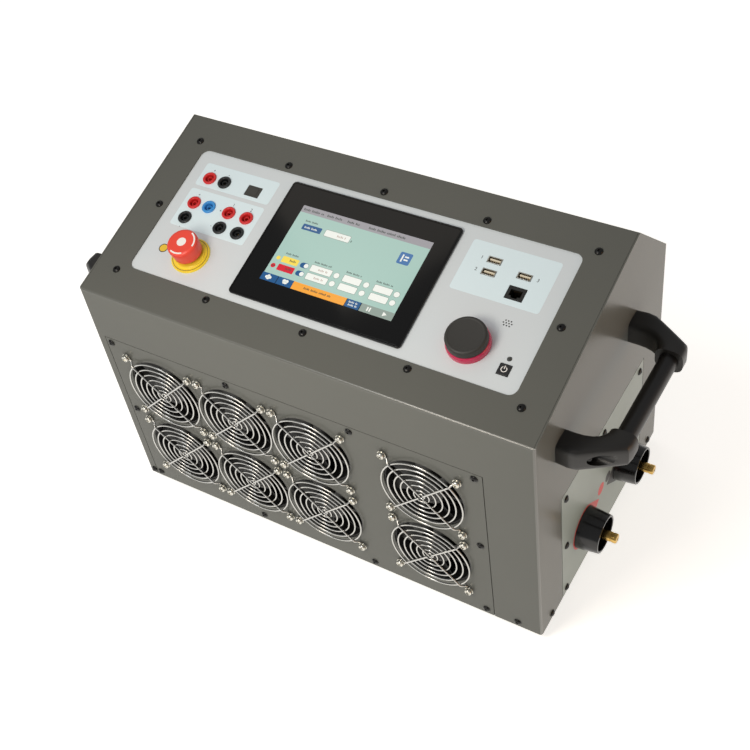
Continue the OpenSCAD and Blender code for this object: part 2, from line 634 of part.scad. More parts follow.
// the right jack is open, the left one carries a dust cover
module network_jacks() color("#202120") {
    on_panel(network_spot) difference() {
        block(-9, 9, -7.1, 7.1, -board_drop, 0.4);
        block(-6, 6, -3.4, 3.6, -15, 9);
        block(-3.2, 3.2, -5.4, -3.3, -15, 9);
    }
    on_panel(service_spot) union() {
        block(-8.5, 8.5, -6.3, 6.3, -16, 0.4);
        block(-10.5, 10.5, -8, 8, -panel_t - 2, -panel_t);
    }
}
module data_ports() color("#c4c2ba") for (p = port_spots) on_panel(p) union() {
    difference() {
        block(-7.2, 7.2, -3.5, 3.5, -board_drop, 0.4);
        block(-6.4, 6.4, -2.8, 2.8, -14, 9);
    }
    block(-5.6, 5.6, 0.3, 2, -14.1, -1);
}

module control_board() color("#1f5a37") union() {
    on_panel([0, 0], -board_drop) block(post_spots[0][0] - 6, post_spots[3][0] + 6,
        post_spots[0][1] - 6, post_spots[3][1] + 6, -1.6, 0);
    on_panel(speaker_spot) disc(10, -board_drop - 0.1, -panel_t - 3);
    on_panel(button_spot) difference() {
        block(-6, 6, -6, 6, -board_drop - 0.1, -panel_t - 5);
        disc(1.5 + running, -board_drop + 4, 9);
    }
}

module connector_panel() color("#b5b8ad") difference() {
    in_case() block(inner_w / 2, case_w / 2, con_y, con_y + con_w, 0, con_h);
    for (p = con_screws) on_right(con_y + p[0], p[1]) disc(hole_r, -9, 4);
    for (y = pin_y) on_right(y, pin_z) disc(pin_r + 3.3, -9, 4);
}
module connector_shrouds() color("#191919") for (y = pin_y) on_right(y, pin_z) difference() {
    union() {
        cylinder(r1 = shroud_r, r2 = shroud_r - 2.5, h = shroud_h);
        disc(pin_r + 3, -sheet_t - 4, 0.1);
    }
    translate([0, 0, 4]) cylinder(r1 = shroud_r - 3, r2 = shroud_r - 5, h = shroud_h);
    disc(pin_r + 0.02, -9, 9);
}
module connector_pins() color("#c79a3e") for (y = pin_y) on_right(y, pin_z) difference() {
    union() {
        disc(pin_r, -34, pin_out - 1);
        translate([0, 0, pin_out - 1]) cylinder(r1 = pin_r, r2 = pin_r - 1, h = 1);
        disc(pin_r + 3, 4, 7);
    }
    ring(pin_r + 2, pin_r - 0.5, pin_out - 6.5, pin_out - 5);
}
module bus_bars() color("#b8733c") for (k = [0, 1]) on_right(pin_y[k], pin_z) difference() {
    union() {
        block(-14, 14, -14, 14, -32, -28);
        block(-14, 14, 14 - 0.1, 18, bank_x1 - case_w / 2, -28);
    }
    disc(pin_r + 0.02, -40, 0);
}

module resistor_bank() color("#8b8781") in_case() union() {
    for (x = [bank_x0, bank_x1 - 3])
        block(x, x + 3, 58, case_d - 62, sheet_t, shelf_z);
    for (y = [0.1:0.2:0.9]) for (z = [0.2, 0.41, 0.62, 0.83])
        translate([bank_x0 + 1, 58 + y * (case_d - 120), z * shelf_z]) rotate([0, 90, 0])
            disc(4, 0, bank_x1 - bank_x0 - 2);
}
module shelf() color("#77787a") in_case()
    block(-inner_w / 2 + 3, inner_w / 2 - 3, 34, case_d - 8, shelf_z, shelf_z + sheet_t);
module power_supply() color("#9a9b9c") in_case()
    block(-120, 60, case_d - 144, case_d - 44, shelf_z + sheet_t, shelf_z + sheet_t + 44);

// mains inlet module in the back wall's frame
module inlet_pin(x, y) block(x - 1, x + 1, y - 2, y + 2, -14.1, -1);
module mains_inlet() color("#1a1a1a") on_back(inlet_x, inlet_z) union() {
    difference() {
        union() {
            slab(60, 30, 3, 0, inlet_proud);
            block(-26, 26, -12, 12, -24, 0.1);
        }
        block(-25, -0.5, -8.5, 8.5, -14, 9);
        block(4.5, 24.5, -6.6, 6.6, -9, 9);
        translate([14.5, 0, 0]) rotate([90, 0, 0]) cylinder(r = 1.5 + running, h = 18, center = true, $fn = 24);
    }
    inlet_pin(-19.7, -2);
    inlet_pin(-12.7, 2);
    inlet_pin(-5.7, -2);
}
module mains_rocker() color("#b01c1c") on_back(inlet_x, inlet_z) translate([14.5, 0, 0])
    rotate([0, rocker_tilt, 0]) union() {
        rotate([90, 0, 0]) linear_extrude(height = 12.4, center = true)
            polygon([[-8.9, -2.2], [8.9, -2.2], [8.9, 2], [0, 0.8], [-8.9, 2]]);
        rotate([90, 0, 0]) cylinder(r = 1.5, h = 16.5, center = true, $fn = 24);
    }

base_tray();
case_cover();
top_frame();
rear_panel();
fan_plate();
control_panel();
connector_panel();
case_screws();
guard_screws();
handle_screws();
feet();
fan_frames();
handle_tube_right();
handle_tube_left();
handle_legs_right();
handle_legs_left();
screen_bezel();
touch_glass();
display_module();
stop_legend();
stop_plunger();
stop_head();
stop_block();
knob_cap();
knob_ring();
encoder_body();
encoder_shaft();
power_button();
status_light();
sockets_red();
sockets_black();
socket_blue();
socket_contacts();
network_jacks();
data_ports();
connector_shrouds();
connector_pins();
bus_bars();
resistor_bank();
shelf();
power_supply();
control_board();
mains_inlet();
mains_rocker();
for (i = [1:8]) fan_rotor(i);
for (i = [1:8]) fan_guard(i);
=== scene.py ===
"""The looks of a battery load tester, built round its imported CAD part.

Sizes are in millimetres in the part's own frame, and each piece is turned to metres when it is finished.
"""

import logging
import math
from dataclasses import dataclass, field
from enum import Enum
from typing import Iterable, Sequence

import bmesh
import bpy
from mathutils import Euler, Matrix, Vector


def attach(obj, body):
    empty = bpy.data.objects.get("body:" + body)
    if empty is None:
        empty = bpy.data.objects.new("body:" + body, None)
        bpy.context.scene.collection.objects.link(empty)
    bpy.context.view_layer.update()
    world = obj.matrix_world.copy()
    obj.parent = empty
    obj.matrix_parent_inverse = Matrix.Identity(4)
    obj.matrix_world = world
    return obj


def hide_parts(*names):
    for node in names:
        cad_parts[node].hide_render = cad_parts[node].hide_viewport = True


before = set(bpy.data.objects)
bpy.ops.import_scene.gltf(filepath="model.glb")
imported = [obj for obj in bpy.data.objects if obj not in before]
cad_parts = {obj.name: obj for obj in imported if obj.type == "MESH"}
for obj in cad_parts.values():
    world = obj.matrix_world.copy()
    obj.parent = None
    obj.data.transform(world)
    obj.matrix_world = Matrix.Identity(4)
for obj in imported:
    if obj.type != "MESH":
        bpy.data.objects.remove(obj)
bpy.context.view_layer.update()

# millimetres in a metre
MM = 1000.0
# points closer than this become one
WELD = 1e-4
# the thickness of a printed film
INK = 0.06
# edges with a larger angle, in degrees, stay sharp in the shading
SHARP = 34.0
# sides of a round wire, so many that they shade as one
WIRE_SIDES = 14
# the turns of a fan's four corners, in degrees
CORNERS = (45, 135, 225, 315)
# how far a cutting shape stands out past the surface that it opens
CUT_PAST = 9.0
# a full turn but for a hairline, so that a flat ring is one outline, in degrees
NEARLY_ROUND = 359.9
log = logging.getLogger("load_tester")

Point2 = tuple[float, float]


def linear(colour: str, share: float = 1.0) -> tuple[float, float, float, float]:
    """Turns an sRGB hex colour to linear light.

    Args:
        colour: the colour as "#rrggbb".
        share: a factor on its brightness.

    Returns:
        The colour as red, green, blue and alpha.
    """
    parts = [int(colour[k:k + 2], 16) / 255 for k in (1, 3, 5)]
    light = [c / 12.92 if c <= 0.04045 else ((c + 0.055) / 1.055) ** 2.4 for c in parts]
    return (*(min(1.0, c * share) for c in light), 1.0)


def add(tree: bpy.types.NodeTree, kind: str, feeds: dict, **settings: object) -> bpy.types.Node:
    """Adds a node with its settings and links.

    Args:
        tree: the node tree that takes the node.
        kind: the node's type name.
        feeds: a value or an output socket for each input, by name or number.
        settings: the node's own properties.

    Returns:
        The new node.
    """
    node = tree.nodes.new(kind)
    for key, value in settings.items():
        setattr(node, key, value)
    for key, value in feeds.items():
        if isinstance(value, bpy.types.NodeSocket):
            tree.links.new(value, node.inputs[key])
        else:
            node.inputs[key].default_value = value
    return node


# the outward middle directions of the folds between the front and the top, and the front and the right side
BENDS = ((0.0, -0.795, 0.606), (0.707, -0.707, 0.0))
# how far a face follows such a direction, as a cosine, where a fold's gleam starts and where it is full
BEND_SPAN = (0.83, 0.93)
# the span of the cloud noise that the gloss follows
CLOUD_SPAN = (0.3, 0.7)
# a brushed line's width against its length
BRUSH_STRETCH = 0.06
# no surface is smoother than this
LEAST_ROUGH = 0.02


class Grain(Enum):
    """How a surface was made, which gives its fine relief."""

    POWDER = "baked powder, a fine orange peel"
    MOULDED = "spark-eroded mould, a fine pebble"
    BRUSHED = "drawn or rolled metal, long fine lines"
    TURNED = "metal cut on a lathe"
    PRINTED = "screen print, nearly smooth"
    PIXELS = "rows of lit display cells"


@dataclass(frozen=True)
class Finish:
    """A real material and the surface that its making left.

    Attributes:
        grain_mm: the size of its fine relief.
        relief: how strongly that relief turns the light.
        shade: how far its tint wanders.
        spread: how far its gloss wanders, over patches of cloud_mm.
        gleam: the tint of its reflection.
        bend_coat: the weight of a clear skin on the case's folds, which gives them their bright line.
    """

    name: str
    colour: str
    grain: Grain
    grain_mm: float
    roughness: float
    metallic: float = 0.0
    relief: float = 0.08
    shade: float = 0.06
    spread: float = 0.04
    cloud_mm: float = 60.0
    ior: float = 1.5
    coat: float = 0.0
    coat_rough: float = 0.06
    coat_ior: float = 1.5
    glow: float = 0.0
    gleam: str = "#ffffff"
    bend_coat: float = 0.0

    def pattern(self, tree: bpy.types.NodeTree, place: bpy.types.NodeSocket) -> bpy.types.NodeSocket:
        """Draws the fine relief of the surface.

        Args:
            tree: the material's node tree.
            place: the Object coordinates.

        Returns:
            The relief's height as a socket from 0 to 1.
        """
        scale = MM / self.grain_mm
        if self.grain is Grain.PIXELS:
            rows = [add(tree, "ShaderNodeTexWave", {"Vector": place, "Scale": scale / math.tau},
                        bands_direction=way).outputs[1] for way in ("X", "Y")]
            return add(tree, "ShaderNodeMath", {0: rows[0], 1: rows[1]}, operation="MULTIPLY").outputs[0]
        if self.grain is Grain.BRUSHED:
            place = add(tree, "ShaderNodeMapping", {"Vector": place, "Scale": (BRUSH_STRETCH, 1.0, 1.0)}).outputs[0]
        detail = 4.0 if self.grain in (Grain.POWDER, Grain.MOULDED) else 2.0
        return add(tree, "ShaderNodeTexNoise", {"Vector": place, "Scale": scale, "Detail": detail,
                                                "Roughness": 0.55}).outputs[0]

    def material(self) -> bpy.types.Material:
        """Builds the node material, once.

        Returns:
            The material, with its tint, gloss and relief in Object coordinates.
        """
        found = bpy.data.materials.get(self.name)
        if found:
            return found
        made = bpy.data.materials.new(self.name)
        made.use_nodes = True
        tree = made.node_tree
        shader = tree.nodes["Principled BSDF"]
        shader.inputs["Metallic"].default_value = self.metallic
        if not self.metallic:
            shader.inputs["IOR"].default_value = self.ior
        shader.inputs["Specular Tint"].default_value = linear(self.gleam)
        shader.inputs["Coat Weight"].default_value = self.coat
        shader.inputs["Coat Roughness"].default_value = self.coat_rough
        shader.inputs["Coat IOR"].default_value = self.coat_ior
        shader.inputs["Emission Color"].default_value = linear(self.colour)
        shader.inputs["Emission Strength"].default_value = self.glow
        place = add(tree, "ShaderNodeTexCoord", {}).outputs["Object"]
        height = self.pattern(tree, place)
        cloud = add(tree, "ShaderNodeTexNoise", {"Vector": place, "Scale": MM / self.cloud_mm,
                                                 "Detail": 3.0}).outputs[0]
        blend = add(tree, "ShaderNodeMath", {0: height, 1: cloud}, operation="MULTIPLY").outputs[0]
        tint = add(tree, "ShaderNodeMix", {0: blend, 6: linear(self.colour, 1 - self.shade),
                                           7: linear(self.colour, 1 + 2 * self.shade)}, data_type="RGBA")
        gloss = add(tree, "ShaderNodeMapRange", {"Value": cloud, "From Min": CLOUD_SPAN[0], "From Max": CLOUD_SPAN[1],
                                                 "To Min": max(LEAST_ROUGH, self.roughness - self.spread),
                                                 "To Max": self.roughness + self.spread})
        bump = add(tree, "ShaderNodeBump", {"Height": height, "Strength": self.relief,
                                            "Distance": self.grain_mm / MM / 4})
        if self.bend_coat:
            facing = add(tree, "ShaderNodeNewGeometry", {}).outputs["Normal"]
            turns = [add(tree, "ShaderNodeVectorMath", {0: facing, 1: way}, operation="DOT_PRODUCT").outputs["Value"]
                     for way in BENDS]
            turned = add(tree, "ShaderNodeMath", {0: turns[0], 1: turns[1]}, operation="MAXIMUM").outputs[0]
            gain = add(tree, "ShaderNodeMapRange", {"Value": turned, "From Min": BEND_SPAN[0], "From Max": BEND_SPAN[1],
                                                    "To Min": self.coat, "To Max": self.bend_coat})
            tree.links.new(gain.outputs[0], shader.inputs["Coat Weight"])
        tree.links.new(tint.outputs[2], shader.inputs["Base Color"])
        tree.links.new(gloss.outputs[0], shader.inputs["Roughness"])
        tree.links.new(bump.outputs[0], shader.inputs["Normal"])
        return made

    def dress(self, *nodes: str) -> None:
        """Gives the finish to CAD nodes that stay in view.

        Args:
            nodes: the names of the CAD nodes.
        """
        for name in nodes:
            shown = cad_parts[name]
            if not shown.material_slots:
                shown.data.materials.append(self.material())
            for slot in shown.material_slots:
                slot.material = self.material()
            log.info("dressed %s in %s", name, self.name)


# graphite powder coat on sheet steel: a dark satin skin with a faint peel, bright only where it bends
GRAPHITE = Finish("powder_coated_steel", "#646560", Grain.POWDER, 1.1, 0.22, relief=0.02, ior=1.21, shade=0.03,
                  spread=0.012, gleam="#f1efe8", coat_rough=0.22, coat_ior=1.6, bend_coat=1.0)
# light grey lacquer: flat and even, so the prints on it read clearly
PALE_LACQUER = Finish("lacquered_sheet", "#d6dde0", Grain.PRINTED, 0.6, 0.5, shade=0.015, relief=0.03)
# pale green-grey lacquer of the connector plate, satin and even
GREEN_LACQUER = Finish("lacquered_connector_plate", "#8c9690", Grain.PRINTED, 0.6, 0.42, shade=0.02, relief=0.03)
# black oxide on steel: near black with a small sharp glint on each dome
BLACK_OXIDE = Finish("black_oxide_steel", "#0d0d0c", Grain.TURNED, 0.4, 0.3, shade=0.1, ior=1.4)
# bright nickel on drawn wire: mirror bands that break up along the rings
NICKEL = Finish("nickel_plated_wire", "#c2c2bf", Grain.BRUSHED, 0.5, 0.2, metallic=1.0, relief=0.03, shade=0.04)
# yellowish bright zinc on the guard screws
BRIGHT_ZINC = Finish("bright_zinc_screw", "#d3d1c8", Grain.TURNED, 0.4, 0.26, metallic=1.0, relief=0.05)
# vulcanised rubber: dead matt black
RUBBER = Finish("rubber", "#1a1a1a", Grain.MOULDED, 0.8, 0.75, relief=0.2)
# glass-filled fan plastic, black with a dull bloom
FAN_PLASTIC = Finish("glass_filled_pbt", "#161616", Grain.MOULDED, 0.7, 0.5, relief=0.12, shade=0.1)
# the rotors' plastic, a shade lighter, with a soft gloss on the blades
ROTOR_PLASTIC = Finish("moulded_rotor_pbt", "#232322", Grain.MOULDED, 0.7, 0.42, relief=0.08, shade=0.1)
# moulded nylon of the handle legs: satin with a fine pebble
NYLON = Finish("moulded_nylon", "#1b1a18", Grain.MOULDED, 0.8, 0.38, relief=0.14, shade=0.08)
# black anodised tube: smoother than the legs, drawn lengthwise
TUBE_COAT = Finish("anodised_tube", "#0e0d0c", Grain.BRUSHED, 0.6, 0.35, relief=0.05, shade=0.08)
# polished black acrylic round the display: deep black with a clear reflection
GLOSS_BLACK = Finish("polished_acrylic", "#0c0c0c", Grain.PRINTED, 0.8, 0.1, relief=0.01, spread=0.03, ior=1.38)
# the touch glass over it, smoother still, which mirrors the room
TOUCH_GLASS = Finish("touch_glass", "#0a0a0a", Grain.PRINTED, 0.8, 0.07, relief=0.005, spread=0.02, ior=1.38)
# moulded ABS of the emergency stop, in strong even yellow and red with a satin sheen
YELLOW_ABS = Finish("yellow_abs", "#f9da3c", Grain.MOULDED, 0.6, 0.4, relief=0.05)
RED_ABS = Finish("red_abs", "#ee4a38", Grain.MOULDED, 0.6, 0.36, relief=0.04)
# the plunger's red ABS, with painted shade: its red is darkened for the shade under the head
SHADE_DARKENED_RED = Finish("shade_darkened_red_abs", "#8e1f18", Grain.MOULDED, 0.6, 0.45)
# soft-touch lacquer on the knob, warm black without a highlight
SOFT_TOUCH = Finish("soft_touch_lacquer", "#302f2c", Grain.MOULDED, 0.6, 0.55, relief=0.08, shade=0.08)
# clear acrylic of the knob's ring, deep crimson under a gloss
CRIMSON = Finish("crimson_acrylic", "#c4124c", Grain.PRINTED, 0.6, 0.16, coat=0.6)
# satin black ABS of the power button
BUTTON_PLASTIC = Finish("button_abs", "#1c1d1f", Grain.MOULDED, 0.6, 0.4)
# smoked lens of the unlit status light, dark and wet-looking
SMOKED_LENS = Finish("smoked_lens", "#3b3d3b", Grain.PRINTED, 0.6, 0.12, coat=0.5)
# polyamide sockets in their code colours: satin with a slightly brighter lip
SOCKET_RED = Finish("red_polyamide", "#d42a2b", Grain.MOULDED, 0.5, 0.35)
SOCKET_BLACK = Finish("black_polyamide", "#1d2022", Grain.MOULDED, 0.5, 0.35)
SOCKET_BLUE = Finish("blue_polyamide", "#3c93da", Grain.MOULDED, 0.5, 0.35)
# turned brass, warm and bright
BRASS = Finish("turned_brass", "#d6b066", Grain.TURNED, 0.5, 0.2, metallic=1.0, shade=0.08)
# moulded polycarbonate of the network jack, dull black
JACK_BLACK = Finish("jack_polycarbonate", "#191918", Grain.MOULDED, 0.5, 0.45)
# rubbery dust cover, dark grey and matt
COVER_GREY = Finish("dust_cover_tpe", "#3c3c38", Grain.MOULDED, 0.5, 0.5)
# tinned steel of the ports, bright with fine rolling lines
TIN = Finish("tinned_shell", "#c9c7c0", Grain.BRUSHED, 0.4, 0.25, metallic=1.0)
# moulded tongues in the ports, cream and satin
CREAM = Finish("cream_liquid_crystal_polymer", "#e9dfc6", Grain.MOULDED, 0.4, 0.4)
# polished thermoset shrouds: black with crisp streaks of light
SHROUD_BLACK = Finish("polished_shroud", "#0b0b0b", Grain.MOULDED, 0.6, 0.2, relief=0.02, coat=0.2)
# rolled copper bars, warm with long lines
COPPER = Finish("rolled_copper", "#b8733c", Grain.BRUSHED, 0.6, 0.3, metallic=1.0)
# resistor strips, steel dulled by heat
ELEMENT = Finish("heat_dulled_steel", "#6b6762", Grain.BRUSHED, 0.6, 0.5, metallic=1.0)
# zinc plate on the shelf, a cool even grey
ZINC = Finish("zinc_plated_sheet", "#77787a", Grain.BRUSHED, 0.8, 0.4, metallic=1.0)
# mill-finish aluminium of the power supply's box, soft grey with rolling lines
ALUMINIUM = Finish("folded_aluminium", "#9a9b9c", Grain.BRUSHED, 0.8, 0.4, metallic=1.0)
# green solder mask, smooth over the copper
BOARD = Finish("solder_mask", "#1f5a37", Grain.PRINTED, 0.5, 0.35)
# turned steel of the encoder, bright with fine rings
STEEL_SHAFT = Finish("turned_shaft", "#a9a9a6", Grain.TURNED, 0.4, 0.3, metallic=1.0)
# lacquered back of the display, a dull dark green
MODULE = Finish("display_backing", "#2c3a36", Grain.PRINTED, 0.5, 0.5)
# moulded nylon of the mains inlet, satin black
INLET_BLACK = Finish("inlet_nylon", "#171717", Grain.MOULDED, 0.6, 0.42)
# polycarbonate rocker, glossy red
ROCKER_RED = Finish("rocker_polycarbonate", "#b01c1c", Grain.MOULDED, 0.5, 0.3)
# screen inks: a thin even film
PALE_INK = Finish("pale_ink", "#e2f3f8", Grain.PRINTED, 0.5, 0.45, shade=0.01)
DARK_INK = Finish("dark_ink", "#3a3b3b", Grain.PRINTED, 0.5, 0.5)
RED_INK = Finish("red_ink", "#c9332c", Grain.PRINTED, 0.5, 0.45)
WHITE_INK = Finish("white_ink", "#f6f3ee", Grain.PRINTED, 0.5, 0.4, shade=0.01)
YELLOW_INK = Finish("yellow_ink", "#eec73a", Grain.PRINTED, 0.5, 0.45)
# the studio's paper floor, lit up to white
CLEAR_FLOOR = Finish("floor_paper", "#fbfaf7", Grain.PRINTED, 2.0, 0.8, shade=0.005, relief=0.01, glow=0.66)


def lit(name: str, colour: str, glow: float = 0.15) -> Finish:
    """Returns a display colour, drawn with cells coarser than the real 0.2 mm so that they can show."""
    return Finish("display_" + name, colour, Grain.PIXELS, 0.6, 0.12, relief=0.0, shade=0.03, coat=0.5, glow=glow)


class Shape:
    """A mesh in millimetres, in a local frame, that bmesh operators build."""

    def __init__(self) -> None:
        """Starts with an empty mesh."""
        self.bm = bmesh.new()

    def close(self) -> "Shape":
        """Welds doubled points and turns the faces outwards.

        Returns:
            The same shape.
        """
        bmesh.ops.remove_doubles(self.bm, verts=self.bm.verts[:], dist=WELD)
        bmesh.ops.recalc_face_normals(self.bm, faces=self.bm.faces[:])
        return self

    @classmethod
    def lathe(cls, outline: Sequence[Point2], steps: int = 48, ring: bool = False) -> "Shape":
        """Spins an outline round local Z.

        Args:
            outline: (radius, height) points.
            steps: how many steps make the full turn.
            ring: whether the outline closes on itself.

        Returns:
            The turned shape.
        """
        made = cls()
        row = [made.bm.verts.new((r, 0.0, z)) for r, z in outline]
        for pair in zip(row, row[1:] + row[:1] if ring else row[1:]):
            made.bm.edges.new(pair)
        bmesh.ops.spin(made.bm, geom=made.bm.verts[:] + made.bm.edges[:], cent=(0, 0, 0), axis=(0, 0, 1),
                       dvec=(0, 0, 0), angle=math.tau, steps=steps, use_merge=True)
        return made.close()

    @classmethod
    def hoop(cls, radius: float, wire: float, height: float, steps: int = 96) -> "Shape":
        """Returns a closed ring of round wire about local Z."""
        arc = [math.tau * k / WIRE_SIDES for k in range(WIRE_SIDES)]
        return cls.lathe([(radius + wire * math.cos(a), height + wire * math.sin(a)) for a in arc], steps, True)

    @classmethod
    def plate(cls, outline: Sequence[Point2], low: float, high: float, corner: float = 0.0) -> "Shape":
        """Extrudes a flat outline along local Z.

        Args:
            outline: the corner points.
            low: the height of the lower face.
            high: the height of the upper face.
            corner: the radius of the outline's corners.

        Returns:
            The closed plate.
        """
        made = cls()
        made.bm.faces.new([made.bm.verts.new((x, y, low)) for x, y in outline])
        if corner:
            bmesh.ops.bevel(made.bm, geom=made.bm.verts[:], offset=corner, offset_type="OFFSET", affect="VERTICES",
                            segments=6, profile=0.5, material=-1, clamp_overlap=True)
        top = bmesh.ops.extrude_face_region(made.bm, geom=made.bm.faces[:])["geom"]
        bmesh.ops.translate(made.bm, vec=(0, 0, high - low),
                            verts=[v for v in top if isinstance(v, bmesh.types.BMVert)])
        return made.close()

    @classmethod
    def slab(cls, x: Point2, y: Point2, z: Point2, corner: float = 0.0) -> "Shape":
        """Returns a block between two bounds on each axis, with rounded upright edges."""
        return cls.plate([(x[0], y[0]), (x[1], y[0]), (x[1], y[1]), (x[0], y[1])], z[0], z[1], corner)

    @classmethod
    def block(cls, half: Point2, low: float, high: float, corner: float = 0.0) -> "Shape":
        """Returns a block about local Z, by half its width and length, with rounded upright edges."""
        return cls.plate(square(0, 0, *half), low, high, corner)

    @classmethod
    def disc(cls, radius: float, low: float, high: float, steps: int = 48) -> "Shape":
        """Returns a plain disc about local Z."""
        return cls.lathe([(0, low), (radius, low), (radius, high), (0, high)], steps)

    @classmethod
    def loft(cls, loops: Iterable[Sequence[Vector]]) -> "Shape":
        """Bridges closed loops of points one to the next and closes both ends.

        Args:
            loops: the loops, each with the same number of points.

        Returns:
            The closed shape.
        """
        made = cls()
        before: list[bmesh.types.BMEdge] = []
        ends: list[list[bmesh.types.BMEdge]] = []
        for loop in loops:
            row = [made.bm.verts.new(p) for p in loop]
            edges = [made.bm.edges.new(pair) for pair in zip(row, row[1:] + row[:1])]
            ends.append(edges)
            if before:
                bmesh.ops.bridge_loops(made.bm, edges=before + edges)
            before = edges
        for edges in (ends[0], ends[-1]):
            bmesh.ops.contextual_create(made.bm, geom=edges)
        return made.close()

    @classmethod
    def wire(cls, path: Sequence[Sequence[float]], radius: float, sides: int = WIRE_SIDES) -> "Shape":
        """Sweeps a round wire along a path.

        Args:
            path: the points of the wire's middle line.
            radius: the wire's radius.
            sides: how many sides make it round.

        Returns:
            The closed wire.
        """
        line = [Vector(p) for p in path]
        loops = []
        for k, p in enumerate(line):
            way = line[min(k + 1, len(line) - 1)] - line[max(k - 1, 0)]
            turn = way.to_track_quat("Z", "Y")
            loops.append([p + turn @ Vector((radius * math.cos(a), radius * math.sin(a), 0))
                          for a in (math.tau * s / sides for s in range(sides))])
        return cls.loft(loops)

    @classmethod
    def mark(cls, words: str, height: float, thick: float = INK) -> "Shape":
        """Draws a plain figure or sign as a thin film on local Z 0.

        Args:
            words: the figures or signs.
            height: the height of a line.
            thick: the film's thickness.

        Returns:
            The film.
        """
        curve = bpy.data.curves.new("mark", "FONT")
        curve.body, curve.size, curve.extrude = words, height, thick / 2
        curve.align_x, curve.align_y, curve.resolution_u = "CENTER", "CENTER", 3
        held = bpy.data.objects.new("mark", curve)
        bpy.context.scene.collection.objects.link(held)
        mesh = bpy.data.meshes.new_from_object(held.evaluated_get(bpy.context.evaluated_depsgraph_get()))
        made = cls()
        made.bm.from_mesh(mesh)
        bpy.data.objects.remove(held)
        bpy.data.meshes.remove(mesh)
        bmesh.ops.translate(made.bm, vec=(0, 0, thick / 2), verts=made.bm.verts[:])
        return made.close()

    def soften(self, radius: float, steps: int = 2, angle: float = 30.0) -> "Shape":
        """Rounds the edges that are sharper than an angle.

        Args:
            radius: the size of the rounding.
            steps: how many strips make it.
            angle: the least angle in degrees between the two faces of an edge.

        Returns:
            The same shape.
        """
        sharp = [e for e in self.bm.edges if len(e.link_faces) == 2 and e.calc_face_angle() > math.radians(angle)]
        bmesh.ops.bevel(self.bm, geom=sharp, offset=radius, offset_type="OFFSET", affect="EDGES", segments=steps,
                        profile=0.5, material=-1, clamp_overlap=True)
        return self

    def take(self, other: "Shape", *seats: Matrix) -> "Shape":
        """Adds copies of another shape.

        Args:
            other: the shape to copy.
            seats: where each copy goes; none means as it is.

        Returns:
            The same shape.
        """
        mesh = bpy.data.meshes.new("copy")
        other.bm.to_mesh(mesh)
        for seat in seats or (Matrix(),):
            known = set(self.bm.verts)
            self.bm.from_mesh(mesh)
            fresh = [v for v in self.bm.verts if v not in known]
            bmesh.ops.transform(self.bm, matrix=seat, verts=fresh)
            if seat.determinant() < 0:
                bmesh.ops.reverse_faces(self.bm, faces=list({f for v in fresh for f in v.link_faces}))
        bpy.data.meshes.remove(mesh)
        return self

    def at(self, *seats: Matrix) -> "Shape":
        """Returns a new shape of copies of this one at these places."""
        return Shape().take(self, *seats)

    def cut(self, *tools: "Shape") -> "Shape":
        """Takes other closed shapes away from this one.

        Args:
            tools: the shapes to take away.

        Returns:
            The same shape.
        """
        for tool in tools:
            pair = []
            for shape in (self, tool):
                mesh = bpy.data.meshes.new("cut")
                shape.bm.to_mesh(mesh)
                pair.append(bpy.data.objects.new("cut", mesh))
                bpy.context.scene.collection.objects.link(pair[-1])
            change = pair[0].modifiers.new("cut", "BOOLEAN")
            change.operation, change.solver, change.object = "DIFFERENCE", "EXACT", pair[1]
            result = bpy.data.meshes.new_from_object(pair[0].evaluated_get(bpy.context.evaluated_depsgraph_get()))
            self.bm.clear()
            self.bm.from_mesh(result)
            bpy.data.meshes.remove(result)
            for held in pair:
                bpy.data.meshes.remove(held.data)
        return self

    def piece(self, name: str, finish: Finish, slot: str, *nodes: str, body: str = "case") -> bpy.types.Object:
        """Finishes the shape as a piece of the object.

        Args:
            name: the piece's name.
            finish: its material.
            slot: the record's material slot; not used.
            nodes: the CAD nodes that it stands for.
            body: the CAD body that it rides on.

        Returns:
            The new object, at the origin with its place in its mesh.
        """
        bmesh.ops.transform(self.bm, matrix=Matrix.Scale(1 / MM, 4), verts=self.bm.verts[:])
        mesh = bpy.data.meshes.new(name)
        self.bm.to_mesh(mesh)
        self.bm.free()
        mesh.shade_smooth()
        mesh.set_sharp_from_angle(angle=math.radians(SHARP))
        mesh.materials.append(finish.material())
        made = bpy.data.objects.new(name, mesh)
        made.modifiers.new("even_normals", "WEIGHTED_NORMAL").keep_sharp = True
        bpy.context.scene.collection.objects.link(made)
        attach(made, body)
        if nodes:
            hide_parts(*nodes)
        log.info("built %s on %s, %d faces", name, body, len(mesh.polygons))
        return made


def square(x: float, y: float, half_x: float, half_y: float) -> list[Point2]:
    """Returns the corners of an upright rectangle about a point."""
    return [(x - half_x, y - half_y), (x + half_x, y - half_y), (x + half_x, y + half_y), (x - half_x, y + half_y)]


def sweep(x: float, y: float, radius: float, start: float, end: float, steps: int = 24) -> list[Point2]:
    """Returns points on an arc, by its angles in degrees."""
    turns = [math.radians(start + (end - start) * k / steps) for k in range(steps + 1)]
    return [(x + radius * math.cos(a), y + radius * math.sin(a)) for a in turns]


def band(x: float, y: float, outer: float, inner: float, start: float, end: float) -> list[Point2]:
    """Returns the outline of a piece of a flat ring, by its angles in degrees."""
    return sweep(x, y, outer, start, end) + sweep(x, y, inner, end, start)


def moved(x: float, y: float, z: float = 0.0) -> Matrix:
    """Returns a shift."""
    return Matrix.Translation((x, y, z))


def spun(angle: float, axis: str = "Z") -> Matrix:
    """Returns a turn about a local axis, by its angle in radians."""
    return Matrix.Rotation(angle, 4, axis)


